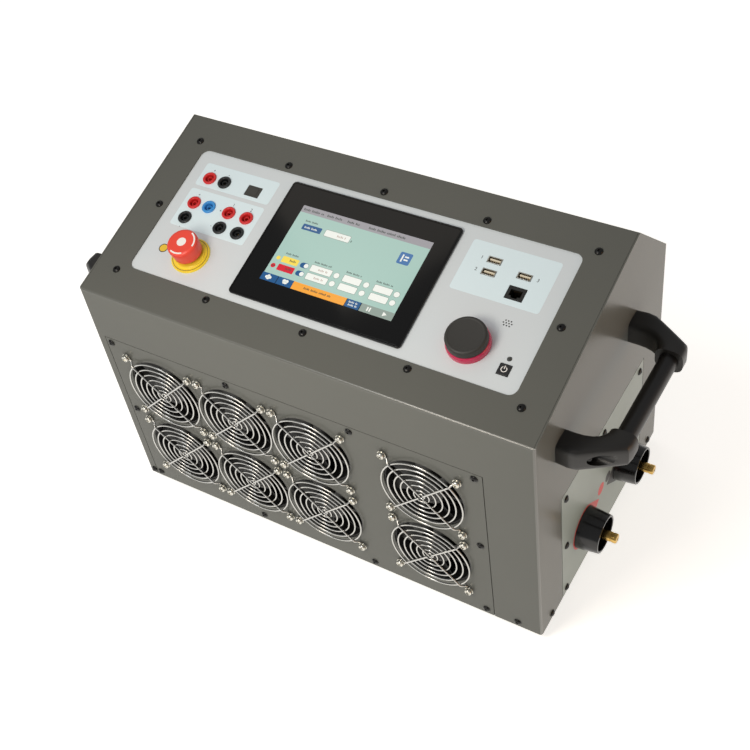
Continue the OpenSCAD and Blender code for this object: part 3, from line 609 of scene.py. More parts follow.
@dataclass(frozen=True)
class Case:
    """The folded case, which gives every other piece its place."""

    width: float = 519.0
    depth: float = 304.0
    front: float = -150.425
    underside: float = 10.0
    front_height: float = 302.5
    top_rise: float = 63.0
    top_run: float = 230.0
    sheet: float = 1.5
    panel_mid: float = 120.5362

    def seat(self, origin: Sequence[float], x: Sequence[float], y: Sequence[float], z: Sequence[float]) -> Matrix:
        """Returns the place of a local frame with these axes."""
        return Matrix.Translation(origin) @ Matrix((x, y, z)).transposed().to_4x4()

    def on_front(self, x: float, z: float) -> Matrix:
        """Returns a place on the front wall, z over the underside, with local Z out."""
        return self.seat((x, self.front, self.underside + z), (1, 0, 0), (0, 0, 1), (0, -1, 0))

    def on_back(self, x: float, z: float) -> Matrix:
        """Returns a place on the back wall, with local X to the right as seen from behind."""
        return self.seat((x, self.front + self.depth, self.underside + z), (-1, 0, 0), (0, 0, 1), (0, 1, 0))

    def on_side(self, side: int, y: float, z: float) -> Matrix:
        """Returns a place on the right (1) or left (-1) wall, y over the front wall."""
        return self.seat((side * self.width / 2, self.front + y, self.underside + z),
                         (0, side, 0), (0, 0, 1), (side, 0, 0))

    def on_panel(self, x: float, v: float, h: float = 0.0) -> Matrix:
        """Gives a place on the sloped control panel.

        Args:
            x: how far it is to the right of the middle.
            v: how far it is up the slope from the window's middle.
            h: its height over the panel.

        Returns:
            The place, with local Y up the slope and Z out.
        """
        length = math.hypot(self.top_rise, self.top_run)
        s, c = self.top_rise / length, self.top_run / length
        along, out = self.panel_mid + v, h - self.sheet
        return self.seat((x, self.front + along * c - out * s,
                          self.underside + self.front_height + along * s + out * c),
                         (1, 0, 0), (0, c, s), (0, -s, c))


CASE = Case()


@dataclass
class Sheets:
    """The folded sheets and the inner pieces, which keep their CAD shapes."""

    finishes: dict[Finish, tuple[str, ...]] = field(default_factory=lambda: {
        GRAPHITE: ("base_tray", "case_cover", "top_frame", "rear_panel", "fan_plate"),
        PALE_LACQUER: ("control_panel",),
        GREEN_LACQUER: ("connector_panel",),
        FAN_PLASTIC: ("fan_frames",),
        TUBE_COAT: ("handle_tube_right", "handle_tube_left"),
        MODULE: ("display_module",),
        SHADE_DARKENED_RED: ("stop_plunger", "stop_block"),
        STEEL_SHAFT: ("encoder_body", "encoder_shaft"),
        BRASS: ("socket_contacts",),
        COPPER: ("bus_bars",),
        ELEMENT: ("resistor_bank",),
        ZINC: ("shelf",),
        ALUMINIUM: ("power_supply",),
        BOARD: ("control_board",),
    })

    def build(self) -> None:
        """Dresses the CAD nodes that stay in view."""
        for finish, nodes in self.finishes.items():
            finish.dress(*nodes)


@dataclass
class FanWall:
    """Eight fans with their rotors, wire guards and guard screws."""

    columns: tuple[float, ...] = (-182.5, -88.0, 6.5, 136.6328)
    rows: tuple[float, ...] = (174.0, 74.0)
    wire: float = 0.95
    ring_out: float = 4.18
    spoke_out: float = 5.7
    rings: int = 6
    eye_ring: float = 3.4
    inner_ring: float = 8.5
    outer_ring: float = 45.5
    screw_circle: float = 58.29
    eyelet: float = 3.05
    hub: float = 18.95
    hub_back: float = -21.5
    hub_front: float = -4.0
    hub_wall: float = 2.0
    hub_hollow: float = 3.0
    dish_rim: float = 15.0
    dish_floor: float = 14.4
    dish_depth: float = 0.5
    blade_tip: float = 42.3
    blade_mid: float = -14.0
    blade_half: float = 8.2
    blade_pitch: float = 46.0
    blade_twist: float = 18.0
    blade_chord: float = 10.5
    blade_spread: float = 3.2
    blade_thick: float = 0.95
    blade_taper: float = 0.35
    blade_camber: float = 1.6
    blade_lean: float = 3.0
    blade_edge: float = 0.12
    blade_root: float = 1.0
    blade_rings: int = 7
    blade_points: int = 8
    blades: int = 7
    rotor_step: float = 0.37
    screw_step: float = 0.5

    def seats(self) -> list[Matrix]:
        """Returns the fans' places, the upper row first."""
        return [CASE.on_front(x, z) for z in self.rows for x in self.columns]

    def guard(self) -> Shape:
        """Bends and welds one guard of round wire.

        Returns:
            The rings, the four spokes and their eyelets.
        """
        made = Shape.hoop(self.eye_ring, self.wire, self.ring_out, 32)
        step = (self.outer_ring - self.inner_ring) / (self.rings - 1)
        for k in range(self.rings):
            made.take(Shape.hoop(self.inner_ring + k * step, self.wire, self.ring_out))
        foot = self.screw_circle - self.eyelet
        bend = [(self.eye_ring, self.spoke_out), (45.6, self.spoke_out), (47.0, 5.45), (48.1, 4.8),
                (51.0, 2.1), (52.1, 1.3), (53.4, self.wire), (foot + 0.4, self.wire)]
        spoke = Shape.wire([(r, 0, h) for r, h in bend], self.wire)
        spoke.take(Shape.hoop(self.eyelet, self.wire, self.wire, 28), moved(self.screw_circle, 0))
        made.take(spoke, *(spun(math.radians(a)) for a in CORNERS))
        return made

    def blade(self) -> Shape:
        """Lofts one twisted blade, thin at its edges.

        Returns:
            The blade, with its root inside the hub.
        """
        loops = []
        root = self.hub - self.blade_root
        for k in range(self.blade_rings):
            share = k / (self.blade_rings - 1)
            radius = root + (self.blade_tip - root) * share
            pitch = math.radians(self.blade_pitch - self.blade_twist * share)
            chord = self.blade_chord + self.blade_spread * share
            half_thick = self.blade_thick - self.blade_taper * share
            loop = []
            for side in (1, -1):
                for j in range(self.blade_points):
                    u = (j / (self.blade_points - 1) * 2 - 1) * side
                    thick = side * half_thick * max(self.blade_edge, 1 - u * u)
                    camber = self.blade_camber * (1 - u * u)
                    across, rise = chord * u, thick + camber
                    y = across * math.cos(pitch) - rise * math.sin(pitch) + self.blade_lean * share
                    z = across * math.sin(pitch) + rise * math.cos(pitch)
                    z = max(-self.blade_half, min(self.blade_half, z))
                    loop.append(Vector((math.sqrt(radius ** 2 - y ** 2), y, self.blade_mid + z)))
            loops.append(loop)
        return Shape.loft(loops)

    def rotor(self) -> Shape:
        """Turns one rotor's cap and sets its blades.

        Returns:
            The rotor: a cap with a rounded rim and a shallow dish, and its blades.
        """
        back, front, wall = self.hub_back, self.hub_front, self.hub - self.hub_wall
        hollow, dish = back + self.hub_hollow, front - self.dish_depth
        made = Shape.lathe([(0, hollow), (wall, hollow), (wall, back), (self.hub, back), (self.hub, front),
                            (self.dish_rim, front), (self.dish_floor, dish), (0, dish)]).soften(0.7, 3, 40)
        made.take(self.blade(), *(spun(math.tau * k / self.blades) for k in range(self.blades)))
        return made

    def screw(self) -> Shape:
        """Turns one guard screw and cuts its recess.

        Returns:
            The pan head with a cross recess, on its washer.
        """
        head = Shape.lathe([(0, 2.5), (4.1, 2.5), (4.1, 4.6), (3.5, 5.7), (2.0, 6.4), (0, 6.5)], 32)
        head.soften(0.25, 2, 35)
        for turn in (0.3, 0.3 + math.pi / 2):
            head.cut(Shape.block((2.4, 0.6), 4.9, 7.5).at(spun(turn)))
        washer = Shape.lathe([(1.9, 1.8), (4.8, 1.8), (4.8, 2.6), (1.9, 2.6)], 32, True).soften(0.15)
        shank = Shape.disc(1.85, -9.0, 2.4, 16)
        return head.take(washer).take(shank)

    def build(self) -> None:
        """Builds and places every fan piece."""
        guard, rotor, screw, screws = self.guard(), self.rotor(), self.screw(), Shape()
        ring = [spun(math.radians(a)) @ moved(self.screw_circle, 0) for a in CORNERS]
        for k, seat in enumerate(self.seats(), 1):
            guard.at(seat).piece(f"wire_guard_{k}", NICKEL, "nickel", f"fan_guard_{k}")
            turn = spun(self.rotor_step * k)
            rotor.at(seat @ turn).piece(f"rotor_{k}", ROTOR_PLASTIC, "rotor_plastic", f"fan_rotor_{k}",
                                        body=f"rotor_{k}")
            screws.take(screw, *(seat @ spot @ spun(self.screw_step * k + i) for i, spot in enumerate(ring)))
        screws.piece("guard_pan_screws", BRIGHT_ZINC, "nickel", "guard_screws")


@dataclass
class Fasteners:
    """The black button-head screws of the case."""

    head: float = 4.1
    rise: float = 2.2
    key: float = 1.5
    rim_x: float = 231.45
    rim_v: float = 86.885
    plate_x: float = -247.5
    plate_w: float = 451.7328
    plate_h: float = 235.5
    con_y: float = 52.0
    con_spots: tuple[Point2, ...] = ((10, 160), (102.5, 160), (195, 160), (10, 82), (195, 82), (9, 8), (196, 8))
    back_inset: float = 10.0
    back_heights: tuple[float, ...] = (60, 160, 255)
    back_columns: tuple[float, ...] = (-160, 0, 160)
    side_spots: tuple[float, ...] = (25, 284)
    low_row: float = 8.0
    foot_inset: float = 38.0

    def screw(self, shank: float) -> Shape:
        """Turns one domed screw and cuts its hexagon key socket.

        Args:
            shank: how far the shank reaches under the head.

        Returns:
            The screw, with the underside of its head at local Z 0.
        """
        made = Shape.lathe([(0, 0), (self.head, 0), (self.head, 0.5), (self.head - 0.45, 1.25),
                            (self.head - 1.2, 1.8), (self.head - 2.0, self.rise), (0, self.rise)], 28)
        made.cut(Shape.lathe([(0, 0.8), (self.key, 0.8), (self.key, 4), (0, 4)], 6))
        return made.take(Shape.disc(1.9, -shank, 0.1, 16))

    def seats(self) -> list[Matrix]:
        """Lists where the case screws sit.

        Returns:
            The places, with local Z out of the sheet.
        """
        # the fan plate's screws sit a little off even thirds
        cols = (6.5, self.plate_w / 3 + 7, self.plate_w * 2 / 3 + 5, self.plate_w - 8.5)
        plate = [(x, z) for z in (self.plate_h - 6.5, self.low_row) for x in cols]
        plate += [(x, self.plate_h / 2 + 4.5) for x in (cols[0], cols[3])]
        right = self.plate_x + self.plate_w
        made = [CASE.on_panel(x * self.rim_x, v, CASE.sheet) for x in (-1, -0.5, 0, 0.5, 1)
                for v in (-self.rim_v, self.rim_v)]
        made += [CASE.on_panel(x, 0, CASE.sheet) for x in (-self.rim_x, self.rim_x)]
        made += [CASE.on_front(8 - CASE.width / 2, 7), CASE.on_front((right + CASE.width / 2) / 2, self.low_row)]
        made += [CASE.on_front(self.plate_x + x, z) for x, z in plate]
        made += [CASE.on_side(1, self.con_y + y, z) for y, z in self.con_spots]
        made += [CASE.on_back(s * (CASE.width / 2 - self.back_inset), z) for s in (-1, 1) for z in self.back_heights]
        made += [CASE.on_back(x, self.low_row) for x in self.back_columns]
        return made + [CASE.on_side(side, y, self.low_row) for side in (1, -1) for y in self.side_spots]

    def feet(self) -> list[Matrix]:
        """Lists where the feet sit on the underside.

        Returns:
            The four places, with local Z down.
        """
        spots = [(s * (CASE.width / 2 - self.foot_inset), y) for s in (-1, 1)
                 for y in (self.foot_inset, CASE.depth - self.foot_inset)]
        return [CASE.seat((x, CASE.front + y, CASE.underside), (1, 0, 0), (0, -1, 0), (0, 0, -1)) for x, y in spots]

    def build(self) -> None:
        """Builds the screws and the rubber feet."""
        heads = self.screw(6.5).at(*self.seats())
        heads.take(self.screw(9.0), *(seat @ moved(0, 0, 5) for seat in self.feet()))
        heads.piece("button_screws", BLACK_OXIDE, "black_screw", "case_screws")
        foot = Shape.lathe([(2.2, 0), (12.5, 0), (11.0, 10), (4.3, 10), (4.3, 5), (2.2, 5)], 40, True).soften(0.8, 3)
        foot.at(*self.feet()).piece("rubber_feet", RUBBER, "rubber", "feet")


@dataclass
class Handles:
    """The two carrying handles: moulded legs on a tube, with domed bolts in their recesses."""

    middle: float = 137.0
    height: float = 251.0
    pitch: float = 170.0
    half_height: float = 14.0
    recess: float = 7.0
    recess_floor: float = 25.0
    tube_out: float = 48.7
    tube_end: float = 12.0
    bore: float = 9.65
    # the cutting shapes reach past the leg: the recess's outwards, the bore's along the tube
    recess_cut: float = 90.0
    bore_cut: float = 60.0
    points: int = 40
    # height and inset of a section's inner and outer edge, and how square it is
    sections: tuple[tuple[float, float, float, float, float], ...] = (
        (0, 13, 0, -12, 5.0), (10, 13.2, 12, -13.2, 4.8), (18, 13.9, 20.4, -12, 4.6), (25, 15.6, 29.4, -6.5, 4.4),
        (30, 18.2, 40.5, 0.3, 4.2), (33, 22, 53, 8, 4.0), (34.3, 26, 60.8, 12.8, 3.6), (34.5, 28.4, 62.8, 19.5, 3.2),
        (34.5, 30.3, 62.9, 30.3, 3.0))

    def leg(self) -> Shape:
        """Lofts one leg and cuts its bolt recess and tube bore.

        Returns:
            The leg on the local +X side: boxy at the wall and round at the tube.
        """
        loops = []
        for t_in, d_in, t_out, d_out, power in self.sections:
            inner = Vector((self.pitch / 2 - d_in, 0, t_in))
            outer = Vector((self.pitch / 2 - d_out, 0, t_out))
            loop = []
            for k in range(self.points):
                a = math.tau * k / self.points
                c, s = math.cos(a), math.sin(a)
                u = math.copysign(abs(c) ** (2 / power), c)
                w = math.copysign(abs(s) ** (2 / power), s)
                loop.append((inner + outer) / 2 + (outer - inner) / 2 * u + Vector((0, self.half_height * w, 0)))
            loops.append(loop)
        made = Shape.loft(loops)
        made.cut(Shape.disc(self.recess, self.recess_floor, self.recess_cut).at(moved(self.pitch / 2, 0)))
        along = moved(self.pitch / 2 - self.tube_end, 0, self.tube_out) @ spun(-math.pi / 2, "Y")
        made.cut(Shape.disc(self.bore, 0, self.bore_cut).at(along))
        return made.soften(0.8, 2, 50)

    def bolt(self) -> Shape:
        """Turns one handle bolt.

        Returns:
            The domed head with its key socket, the shank and the nut inside the case.
        """
        low = self.recess_floor
        made = Shape.lathe([(0, low), (5.2, low), (5.2, low + 3), (4.7, low + 4.7), (3.6, low + 6),
                            (2.2, low + 6.6), (0, low + 6.6)], 32)
        made.cut(Shape.lathe([(0, low + 3.5), (1.9, low + 3.5), (1.9, low + 9), (0, low + 9)], 6))
        nut = Shape.lathe([(0, -6.5), (5.8, -6.5), (5.8, -1.5), (0, -1.5)], 6)
        return made.take(Shape.disc(3.0, -12, low + 0.1, 20)).take(nut)

    def build(self) -> None:
        """Builds both handles."""
        leg, bolt, bolts = self.leg(), self.bolt(), Shape()
        flip = Matrix.Scale(-1, 4, (1, 0, 0))
        for side, name in ((1, "right"), (-1, "left")):
            seat = CASE.on_side(side, self.middle, self.height)
            leg.at(seat, seat @ flip).piece(f"handle_legs_moulded_{name}", NYLON, "handle_plastic",
                                            f"handle_legs_{name}")
            bolts.take(bolt, *(seat @ moved(s * self.pitch / 2, 0) for s in (-1, 1)))
        bolts.piece("handle_bolts", BLACK_OXIDE, "black_screw", "handle_screws")


@dataclass
class Screen:
    """The touch screen: its bezel, glass and a plain set of lit fields."""

    width: float = 197.5
    length: float = 141.5
    proud: float = 3.0
    corner: float = 4.0
    rim: float = 2.0
    glass_inset: float = 2.2
    glass_seat: float = 1.8
    glass_drop: float = 0.2
    glass_corner: float = 2.5
    film: float = 0.03
    neck_inset: float = 7.3
    neck_back: float = 12.0
    stroke_step: float = 0.62
    stroke_width: float = 0.55
    short_stroke: float = 0.72
    shift: Point2 = (-259.5, -120.5)

    def half(self, inset: float = 0.0) -> Point2:
        """Returns half the bezel's width and length, less an inset."""
        return self.width / 2 - inset, self.length / 2 - inset

    def bezel(self) -> Shape:
        """Frames the screen.

        Returns:
            The bezel, a low frame with rounded corners and edges, and its neck behind the panel.
        """
        made = Shape.block(self.half(), 0, self.proud, self.corner).soften(0.7, 3, 40)
        made.cut(Shape.block(self.half(self.rim), self.proud - self.glass_seat, CUT_PAST, self.glass_corner))
        return made.take(Shape.block(self.half(self.neck_inset), -self.neck_back, 0))

    def glass(self) -> Shape:
        """Cuts the touch glass.

        Returns:
            The glass, with a fine softened edge.
        """
        low, high = self.proud - self.glass_seat, self.proud - self.glass_drop
        return Shape.block(self.half(self.glass_inset), low, high, self.glass_corner).soften(0.2, 2, 40)

    def field(self, x0: float, x1: float, v0: float, v1: float, layer: int = 1, corner: float = 0.0) -> Shape:
        """Draws one lit field.

        Args:
            x0: its left edge, over the case's left side.
            x1: its right edge.
            v0: its lower edge, up the slope from the front.
            v1: its upper edge.
            layer: how many films lie under it.
            corner: its corner radius.

        Returns:
            The thin field.
        """
        low = self.proud - self.glass_drop + layer * self.film
        return Shape.slab((x0 + self.shift[0], x1 + self.shift[0]), (v0 + self.shift[1], v1 + self.shift[1]),
                          (low - self.film, low + self.film), corner)

    def words(self, x0: float, x1: float, v: float, tall: float = 2.0, layer: int = 2) -> Shape:
        """Draws a line of greeked words, short upright strokes in uneven groups.

        Args:
            x0: its left end.
            x1: its right end.
            v: the height of its base line.
            tall: the height of a tall stroke.
            layer: how many films lie under it.

        Returns:
            The strokes.
        """
        made, step = Shape(), self.stroke_step * tall
        for k in range(int((x1 - x0) / step)):
            if k % 7 != 5:
                rise = tall if k % 3 == 0 else self.short_stroke * tall
                made.take(self.field(x0 + k * step, x0 + (k + self.stroke_width) * step, v, v + rise, layer))
        return made

    def dot(self, x: float, v: float, radius: float, layer: int) -> Shape:
        """Draws one lit disc.

        Args:
            x: its middle, over the case's left side.
            v: its middle, up the slope from the front.
            radius: its radius.
            layer: how many films lie under it.

        Returns:
            The thin disc.
        """
        low = self.proud - self.glass_drop + layer * self.film
        made = Shape.disc(radius, low - self.film, low + self.film, 24)
        return made.at(moved(x + self.shift[0], v + self.shift[1]))

    def layout(self) -> dict[str, tuple[str, list[Shape]]]:
        """Lays out the display.

        Returns:
            The fields by colour name, each with its colour and its shapes.
        """
        box, dot, words = self.field, self.dot, self.words
        low = self.proud - self.glass_drop + 4 * self.film
        rows = (98.3, 88.5)
        entry = [(224.7, 253.5, 140.0)] + [(a, b, v) for v in rows
                                           for a, b in ((231.0, 255.0), (268.8, 288.5), (303.6, 323.3))]
        white = [box(a, b, v, v + 7.3, 3, 1.0) for a, b, v in entry]
        edges = [box(a - 0.5, b + 0.5, v - 0.5, v + 7.8, 2, 1.4) for a, b, v in entry]
        text = [words(a, b, 161.6, 2.6) for a, b in ((189, 214), (217, 235), (241, 257), (266, 309))]
        text += [words(198, 214, 149.6), words(198, 213, 108.2), words(232, 252, 108.2), words(269, 287, 108.2),
                 words(303, 322, 108.2), words(255.5, 257.5, 141.2, 2.2), words(206, 215, 101.2, 2.4, 4),
                 words(206, 214, 91.4, 2.4, 4), words(236, 268, 77.4, 2.2, 3)]
        faint = [words(239, 250, 142.4, 2.4, 4)] + [words(240, 252, v + 2.6, 2.2, 4) for v in rows]
        for v in rows:
            white += [dot(225.6, v + 3.6, 2.5, 4)] + [dot(x, v + 3.6, 3.0, 4) for x in (261.0, 295.0, 329.0)]
            edges += [dot(x, v + 3.6, 3.4, 3) for x in (261.0, 295.0, 329.0)]
        white += [words(200.5, 216, 142.2, 2.2, 4), box(190.5, 197.5, 76.6, 79.6, 4, 1.0),
                  box(192.5, 195.5, 75.4, 81, 4, 1.0)]
        white += [dot(212.4, 79.4, 1.9, 4), dot(215.4, 79.4, 1.9, 4), box(211.4, 216.4, 76.2, 79.2, 4, 1.2)]
        white += [words(287.4, 298.4, 78.8, 2.0, 4), words(288, 298, 75.6, 2.0, 4), box(314, 315.6, 137, 145.4, 4)]
        white += [box(a, a + 1.5, 76, 80.4, 4) for a in (308.2, 310.8)] + [box(317, 321.4, 139, 140.6, 4)]
        tip = [(x + self.shift[0], v + self.shift[1]) for x, v in ((325.8, 75.8), (330.2, 78.2), (325.8, 80.6))]
        white += [Shape.plate(tip, low - self.film, low), box(317, 321.4, 142.4, 144, 4)]
        return {
            "teal": ("#a6c9c2", [box(186.5, 337, 82.5, 159)]),
            "tabs": ("#9c9ca4", [box(186.5, 337, 159, 167)]),
            "blue": ("#17558c", [box(185.8, 204, 73.7, 82.5), box(204.7, 222.4, 73.7, 82.5),
                                 box(284.6, 300.2, 73.7, 82.5), box(197.7, 220, 140, 146.9, 2, 0.8)]
                     + [box(218.6, 228.3, v + 0.6, v + 6.6, 3, 2.9) for v in rows]),
            "sky": ("#3d72ad", [box(310.8, 324.3, 134.4, 148, 2, 1.6)]),
            "amber": ("#f2a63a", [box(222.6, 284, 73.7, 82.5)]),
            "grey": ("#8fa09a", [box(301, 337.3, 73.7, 82.5)] + edges),
            "yellow": ("#f5dc5a", [box(197, 216, 98.3, 105.6, 3, 0.8), dot(192.5, 101.8, 2.2, 3)]),
            "red": ("#d3152f", [box(197, 216, 88.5, 95.8, 3, 0.8), dot(191.6, 92.0, 2.6, 3)]),
            "white": ("#eef4f1", white),
            "dark": ("#37423f", text + [box(190, 193.2, 91.5, 92.5, 4)]),
            "faint": ("#b9a79f", faint),
        }

    def build(self) -> None:
        """Builds the screen."""
        seat = CASE.on_panel(0, 0)
        self.bezel().at(seat).piece("screen_frame", GLOSS_BLACK, "bezel_plastic", "screen_bezel")
        self.glass().at(seat).piece("screen_cover", TOUCH_GLASS, "screen_glass", "touch_glass")
        for name, (colour, fields) in self.layout().items():
            made = Shape()
            for shape in fields:
                made.take(shape, seat)
            made.piece(f"display_{name}", lit(name, colour), "display")


@dataclass
class StopButton:
    """The emergency stop: yellow legend, red head with its arrows' arcs and centre dot."""

    x: float = -161.3
    v: float = -45.7
    legend: float = 21.0
    collar: float = 16.3
    hole: float = 11.3
    radius: float = 16.5
    top: float = 26.0
    skirt: float = 8.6

    def build(self) -> None:
        """Builds the stop button's visible pieces."""
        seat = CASE.on_panel(self.x, self.v)
        legend = Shape.lathe([(self.hole, 0), (self.legend, 0), (self.legend, 1.4), (self.legend - 0.5, 2.0),
                              (self.collar + 0.5, 2.0), (self.collar, 2.4), (self.collar, 3.6),
                              (self.collar - 0.5, 4.0), (self.hole, 4.0)], 64, True)
        legend.at(seat).piece("stop_legend_disc", YELLOW_ABS, "stop_yellow", "stop_legend")
        r, top = self.radius, self.top
        head = Shape.lathe([(0, top - 5.7), (6.05, top - 5.7), (6.05, 17), (12.4, 17), (12.4, self.skirt),
                            (r - 1.1, self.skirt), (r - 0.9, 12), (r - 0.2, 18), (r, 21.6), (r - 0.3, 24.0),
                            (r - 1.2, 25.3), (r - 2.6, 25.9), (r - 4.2, top), (0, top)], 64)
        head.at(seat).piece("stop_button_head", RED_ABS, "stop_red", "stop_head", body="stop_head")
        marks = Shape.disc(5.0, self.top, self.top + INK)
        for start, end in ((-5, 68), (245, 302)):
            marks.take(Shape.plate(band(0, 0, 14.7, 13.0, start, end), self.top - 0.8, self.top - 0.05))
        marks.at(seat).piece("stop_head_marks", WHITE_INK, "stop_red", body="stop_head")
        ring = Shape.plate(band(0, 0, 19.4, 18.9, 0, NEARLY_ROUND), 2.0, 2.0 + INK)
        ring.at(seat).piece("stop_legend_line", DARK_INK, "stop_yellow")


@dataclass
class Knob:
    """The turning knob with its crimson ring."""

    x: float = 157.5
    v: float = -42.4
    radius: float = 20.5
    top: float = 16.0
    shaft_hole: float = 3.02
    ring_hole: float = 8.4

    def build(self) -> None:
        """Builds the knob's cap and ring."""
        seat = CASE.on_panel(self.x, self.v)
        r, top, hole = self.radius, self.top, self.shaft_hole
        cap = Shape.lathe([(hole, 4.5), (8, 4.5), (8, 7.4), (r - 0.4, 7.4), (r, 7.9), (r - 0.15, top - 2.2),
                           (r - 0.6, top - 1.0), (r - 1.5, top - 0.25), (r - 2.6, top), (r - 3.4, top - 0.15),
                           (r - 4.2, top - 0.55), (0, top - 0.8), (0, top - 3), (hole, top - 3)], 72, True)
        cap.at(seat).piece("knob_cap_soft", SOFT_TOUCH, "knob_plastic", "knob_cap", body="knob")
        hole = self.ring_hole
        ring = Shape.lathe([(hole, 0), (r + 1.4, 0), (r + 1.5, 1.4), (r + 1.3, 4.2), (r + 0.8, 6.0), (r - 0.2, 6.9),
                            (r - 2, 7.0), (r - 2, 4.0), (hole, 4.0)], 72, True)
        ring.at(seat).piece("knob_light_ring", CRIMSON, "knob_ring", "knob_ring")


@dataclass
class ControlDeck:
    """Prints, sockets, jacks, ports, button and light on the sloped panel."""

    columns: tuple[float, ...] = (-194.4, -175.2, -149.5, -127.2)
    rows: tuple[float, ...] = (46.8, 13.9, -5.6)
    service: Point2 = (-137.9, 46.5)
    network: Point2 = (176.3, 20.5)
    ports: tuple[Point2, ...] = ((142.0, 47.8), (142.0, 33.8), (176.5, 40.2))
    button: Point2 = (200.2, -56.5)
    light: Point2 = (200.2, -44.6)
    button_half: float = 5.8
    button_top: float = 1.2
    button_back: float = -3.5
    lip: float = 0.9
    lip_top: float = -2.3
    socket: float = 7.5
    well: float = 4.3
    barrel: float = 5.9
    depth: float = 24.0
    board: float = 22.0
    port_hole: Point2 = (7.5, 3.8)
    network_hole: Point2 = (9.3, 7.4)
    service_hole: Point2 = (8.8, 6.6)
    cover: Point2 = (8.5, 6.3)
    jack_depth: float = 15.0
    port_depth: float = 14.0
    proud: float = 0.4
    contact_step: float = 1.02
    sign_height: float = 5.2
    # the middle of the speaker holes, which are drawn as painted shade: dark ink dots, not open holes
    speaker: Point2 = (182.6, -11.0)
    note: Point2 = (-196.5, -46.5)
    fields: tuple[tuple[float, float, float, float], ...] = (
        (-160.9, 50.4, 46.95, 14.65), (-160.9, 7.0, 46.95, 24.15), (159.0, 35.9, 46.55, 29.2))

    def spots(self) -> list[Point2]:
        """Lists where the sockets sit.

        Returns:
            The places on the panel: four red, four black, one blue.
        """
        c, w = self.columns, self.rows
        return [(c[0], w[0]), (c[0], w[1]), (c[2], w[1]), (c[3], w[1]),
                (c[1], w[0]), (c[0], w[2]), (c[2], w[2]), (c[3], w[2]), (c[1], w[1])]

    def prints(self) -> None:
        """Lays the pale printed fields, a few plain signs, and painted shade dots in place of the speaker holes."""
        pale, dark, holes = Shape(), Shape(), Shape()
        holes.take(Shape.disc(self.socket - 0.5, -1, 1), *(moved(x, v) for x, v in self.spots()))
        for half, places in ((self.port_hole, self.ports), (self.network_hole, (self.network,)),
                             (self.service_hole, (self.service,))):
            holes.take(Shape.block(half, -1, 1), *(moved(x, v) for x, v in places))
        for x, v, half_x, half_v in self.fields:
            pale.take(Shape.plate(square(x, v, half_x, half_v), 0, INK, 3.0).cut(holes), CASE.on_panel(0, 0))
        c, r = self.columns, self.rows
        signs = [("+", c[0], r[0] + 10.6), ("-", c[1], r[0] + 10.6), ("+", c[0], r[1] + 10.8), ("-", c[0], r[2] - 11.2),
                 ("1", c[2], r[1] + 10.8), ("2", c[3], r[1] + 10.8), ("+", c[2] - 10.8, r[1]), ("-", c[2] - 10.8, r[2]),
                 ("1", 128.5, 47.8), ("2", 128.5, 33.8), ("3", 190.5, 40.2)]
        for words, x, v in signs:
            dark.take(Shape.mark(words, self.sign_height), CASE.on_panel(x, v, INK))
        # painted shade: the speaker holes are dark ink dots on the panel, standing for the shade inside open holes
        for row, places in ((2.6, (-2.8, 0.0, 2.8)), (0.0, (-4.2, -1.4, 1.4, 4.2)), (-2.6, (-2.8, 0.0, 2.8))):
            dark.take(Shape.disc(0.8, 0, INK, 12),
                      *(CASE.on_panel(self.speaker[0] + x, self.speaker[1] + row) for x in places))
        pale.piece("panel_print_pale", PALE_INK, "panel_paint")
        dark.piece("panel_print_dark_and_hole_shade", DARK_INK, "panel_paint")
        disc = Shape.disc(5.0, 0, INK)
        disc.at(CASE.on_panel(*self.note)).piece("stop_note_disc", YELLOW_INK, "panel_paint")
        edge = Shape.plate(band(0, 0, 5.2, 4.3, 0, NEARLY_ROUND), INK, 2 * INK)
        edge.at(CASE.on_panel(*self.note)).piece("stop_note_ring", DARK_INK, "panel_paint")

    def sockets(self) -> None:
        """Builds the safety sockets in their three colours."""
        r, back = self.socket, -self.depth
        b, w = self.barrel, self.well
        body = Shape.lathe([(0, back), (b, back), (b, -5), (r - 0.6, -5), (r - 0.6, -2), (b, -2), (b, 0), (r, 0),
                            (r, 1.3), (r - 0.3, 1.75), (r - 0.9, 2.0), (5.3, 2.0), (5.0, 1.85), (4.6, 1.2), (w, 0.6),
                            (w, 3 + back), (0, 3 + back)], 48)
        tip = Shape.lathe([(2.05, -3.8), (3.1, -3.8), (3.1, -1.0), (2.8, -0.6), (2.3, -0.6), (2.05, -0.9)], 32, True)
        body.take(tip)
        spots = self.spots()
        groups = (("red", SOCKET_RED, "sockets_red", spots[:4]), ("black", SOCKET_BLACK, "sockets_black", spots[4:8]),
                  ("blue", SOCKET_BLUE, "socket_blue", spots[8:]))
        for name, finish, node, mine in groups:
            made = body.at(*(CASE.on_panel(x, v) for x, v in mine))
            made.piece(f"safety_sockets_{name}", finish, f"socket_{name}", node)

    def jacks(self) -> None:
        """Builds the open network jack and the covered service jack."""
        seat = CASE.on_panel(*self.network)
        made = Shape.block((9, 7.1), -self.board, self.proud, 0.6).soften(0.25)
        mouth = (-self.jack_depth, CUT_PAST)
        made.cut(Shape.slab((-6, 6), (-3.4, 3.6), mouth), Shape.slab((-3.2, 3.2), (-5.4, -3.3), mouth))
        lid_seat = CASE.on_panel(*self.service)
        both = made.at(seat).take(Shape.block((10.5, 8), -4, -2, 0.6), lid_seat)
        both.take(Shape.block(self.cover, -16, -4), lid_seat)
        both.piece("network_jack_shell", JACK_BLACK, "jack_plastic", "network_jacks")
        lid = Shape.block(self.cover, -2, self.proud, 0.8).soften(0.3)
        lid.take(Shape.block((5.6, 4.4), 0.3, 0.9, 1.2).soften(0.25))
        lid.at(lid_seat).piece("service_jack_cover", COVER_GREY, "jack_plastic")
        pins = Shape()
        for k in range(8):
            x = (k - 3.5) * self.contact_step
            pins.take(Shape.wire([(x, 3.5, -2.4), (x, 2.2, -6.0), (x, 1.2, -14.9)], 0.2, 6), seat)
        pins.piece("network_jack_contacts", BRASS, "brass")

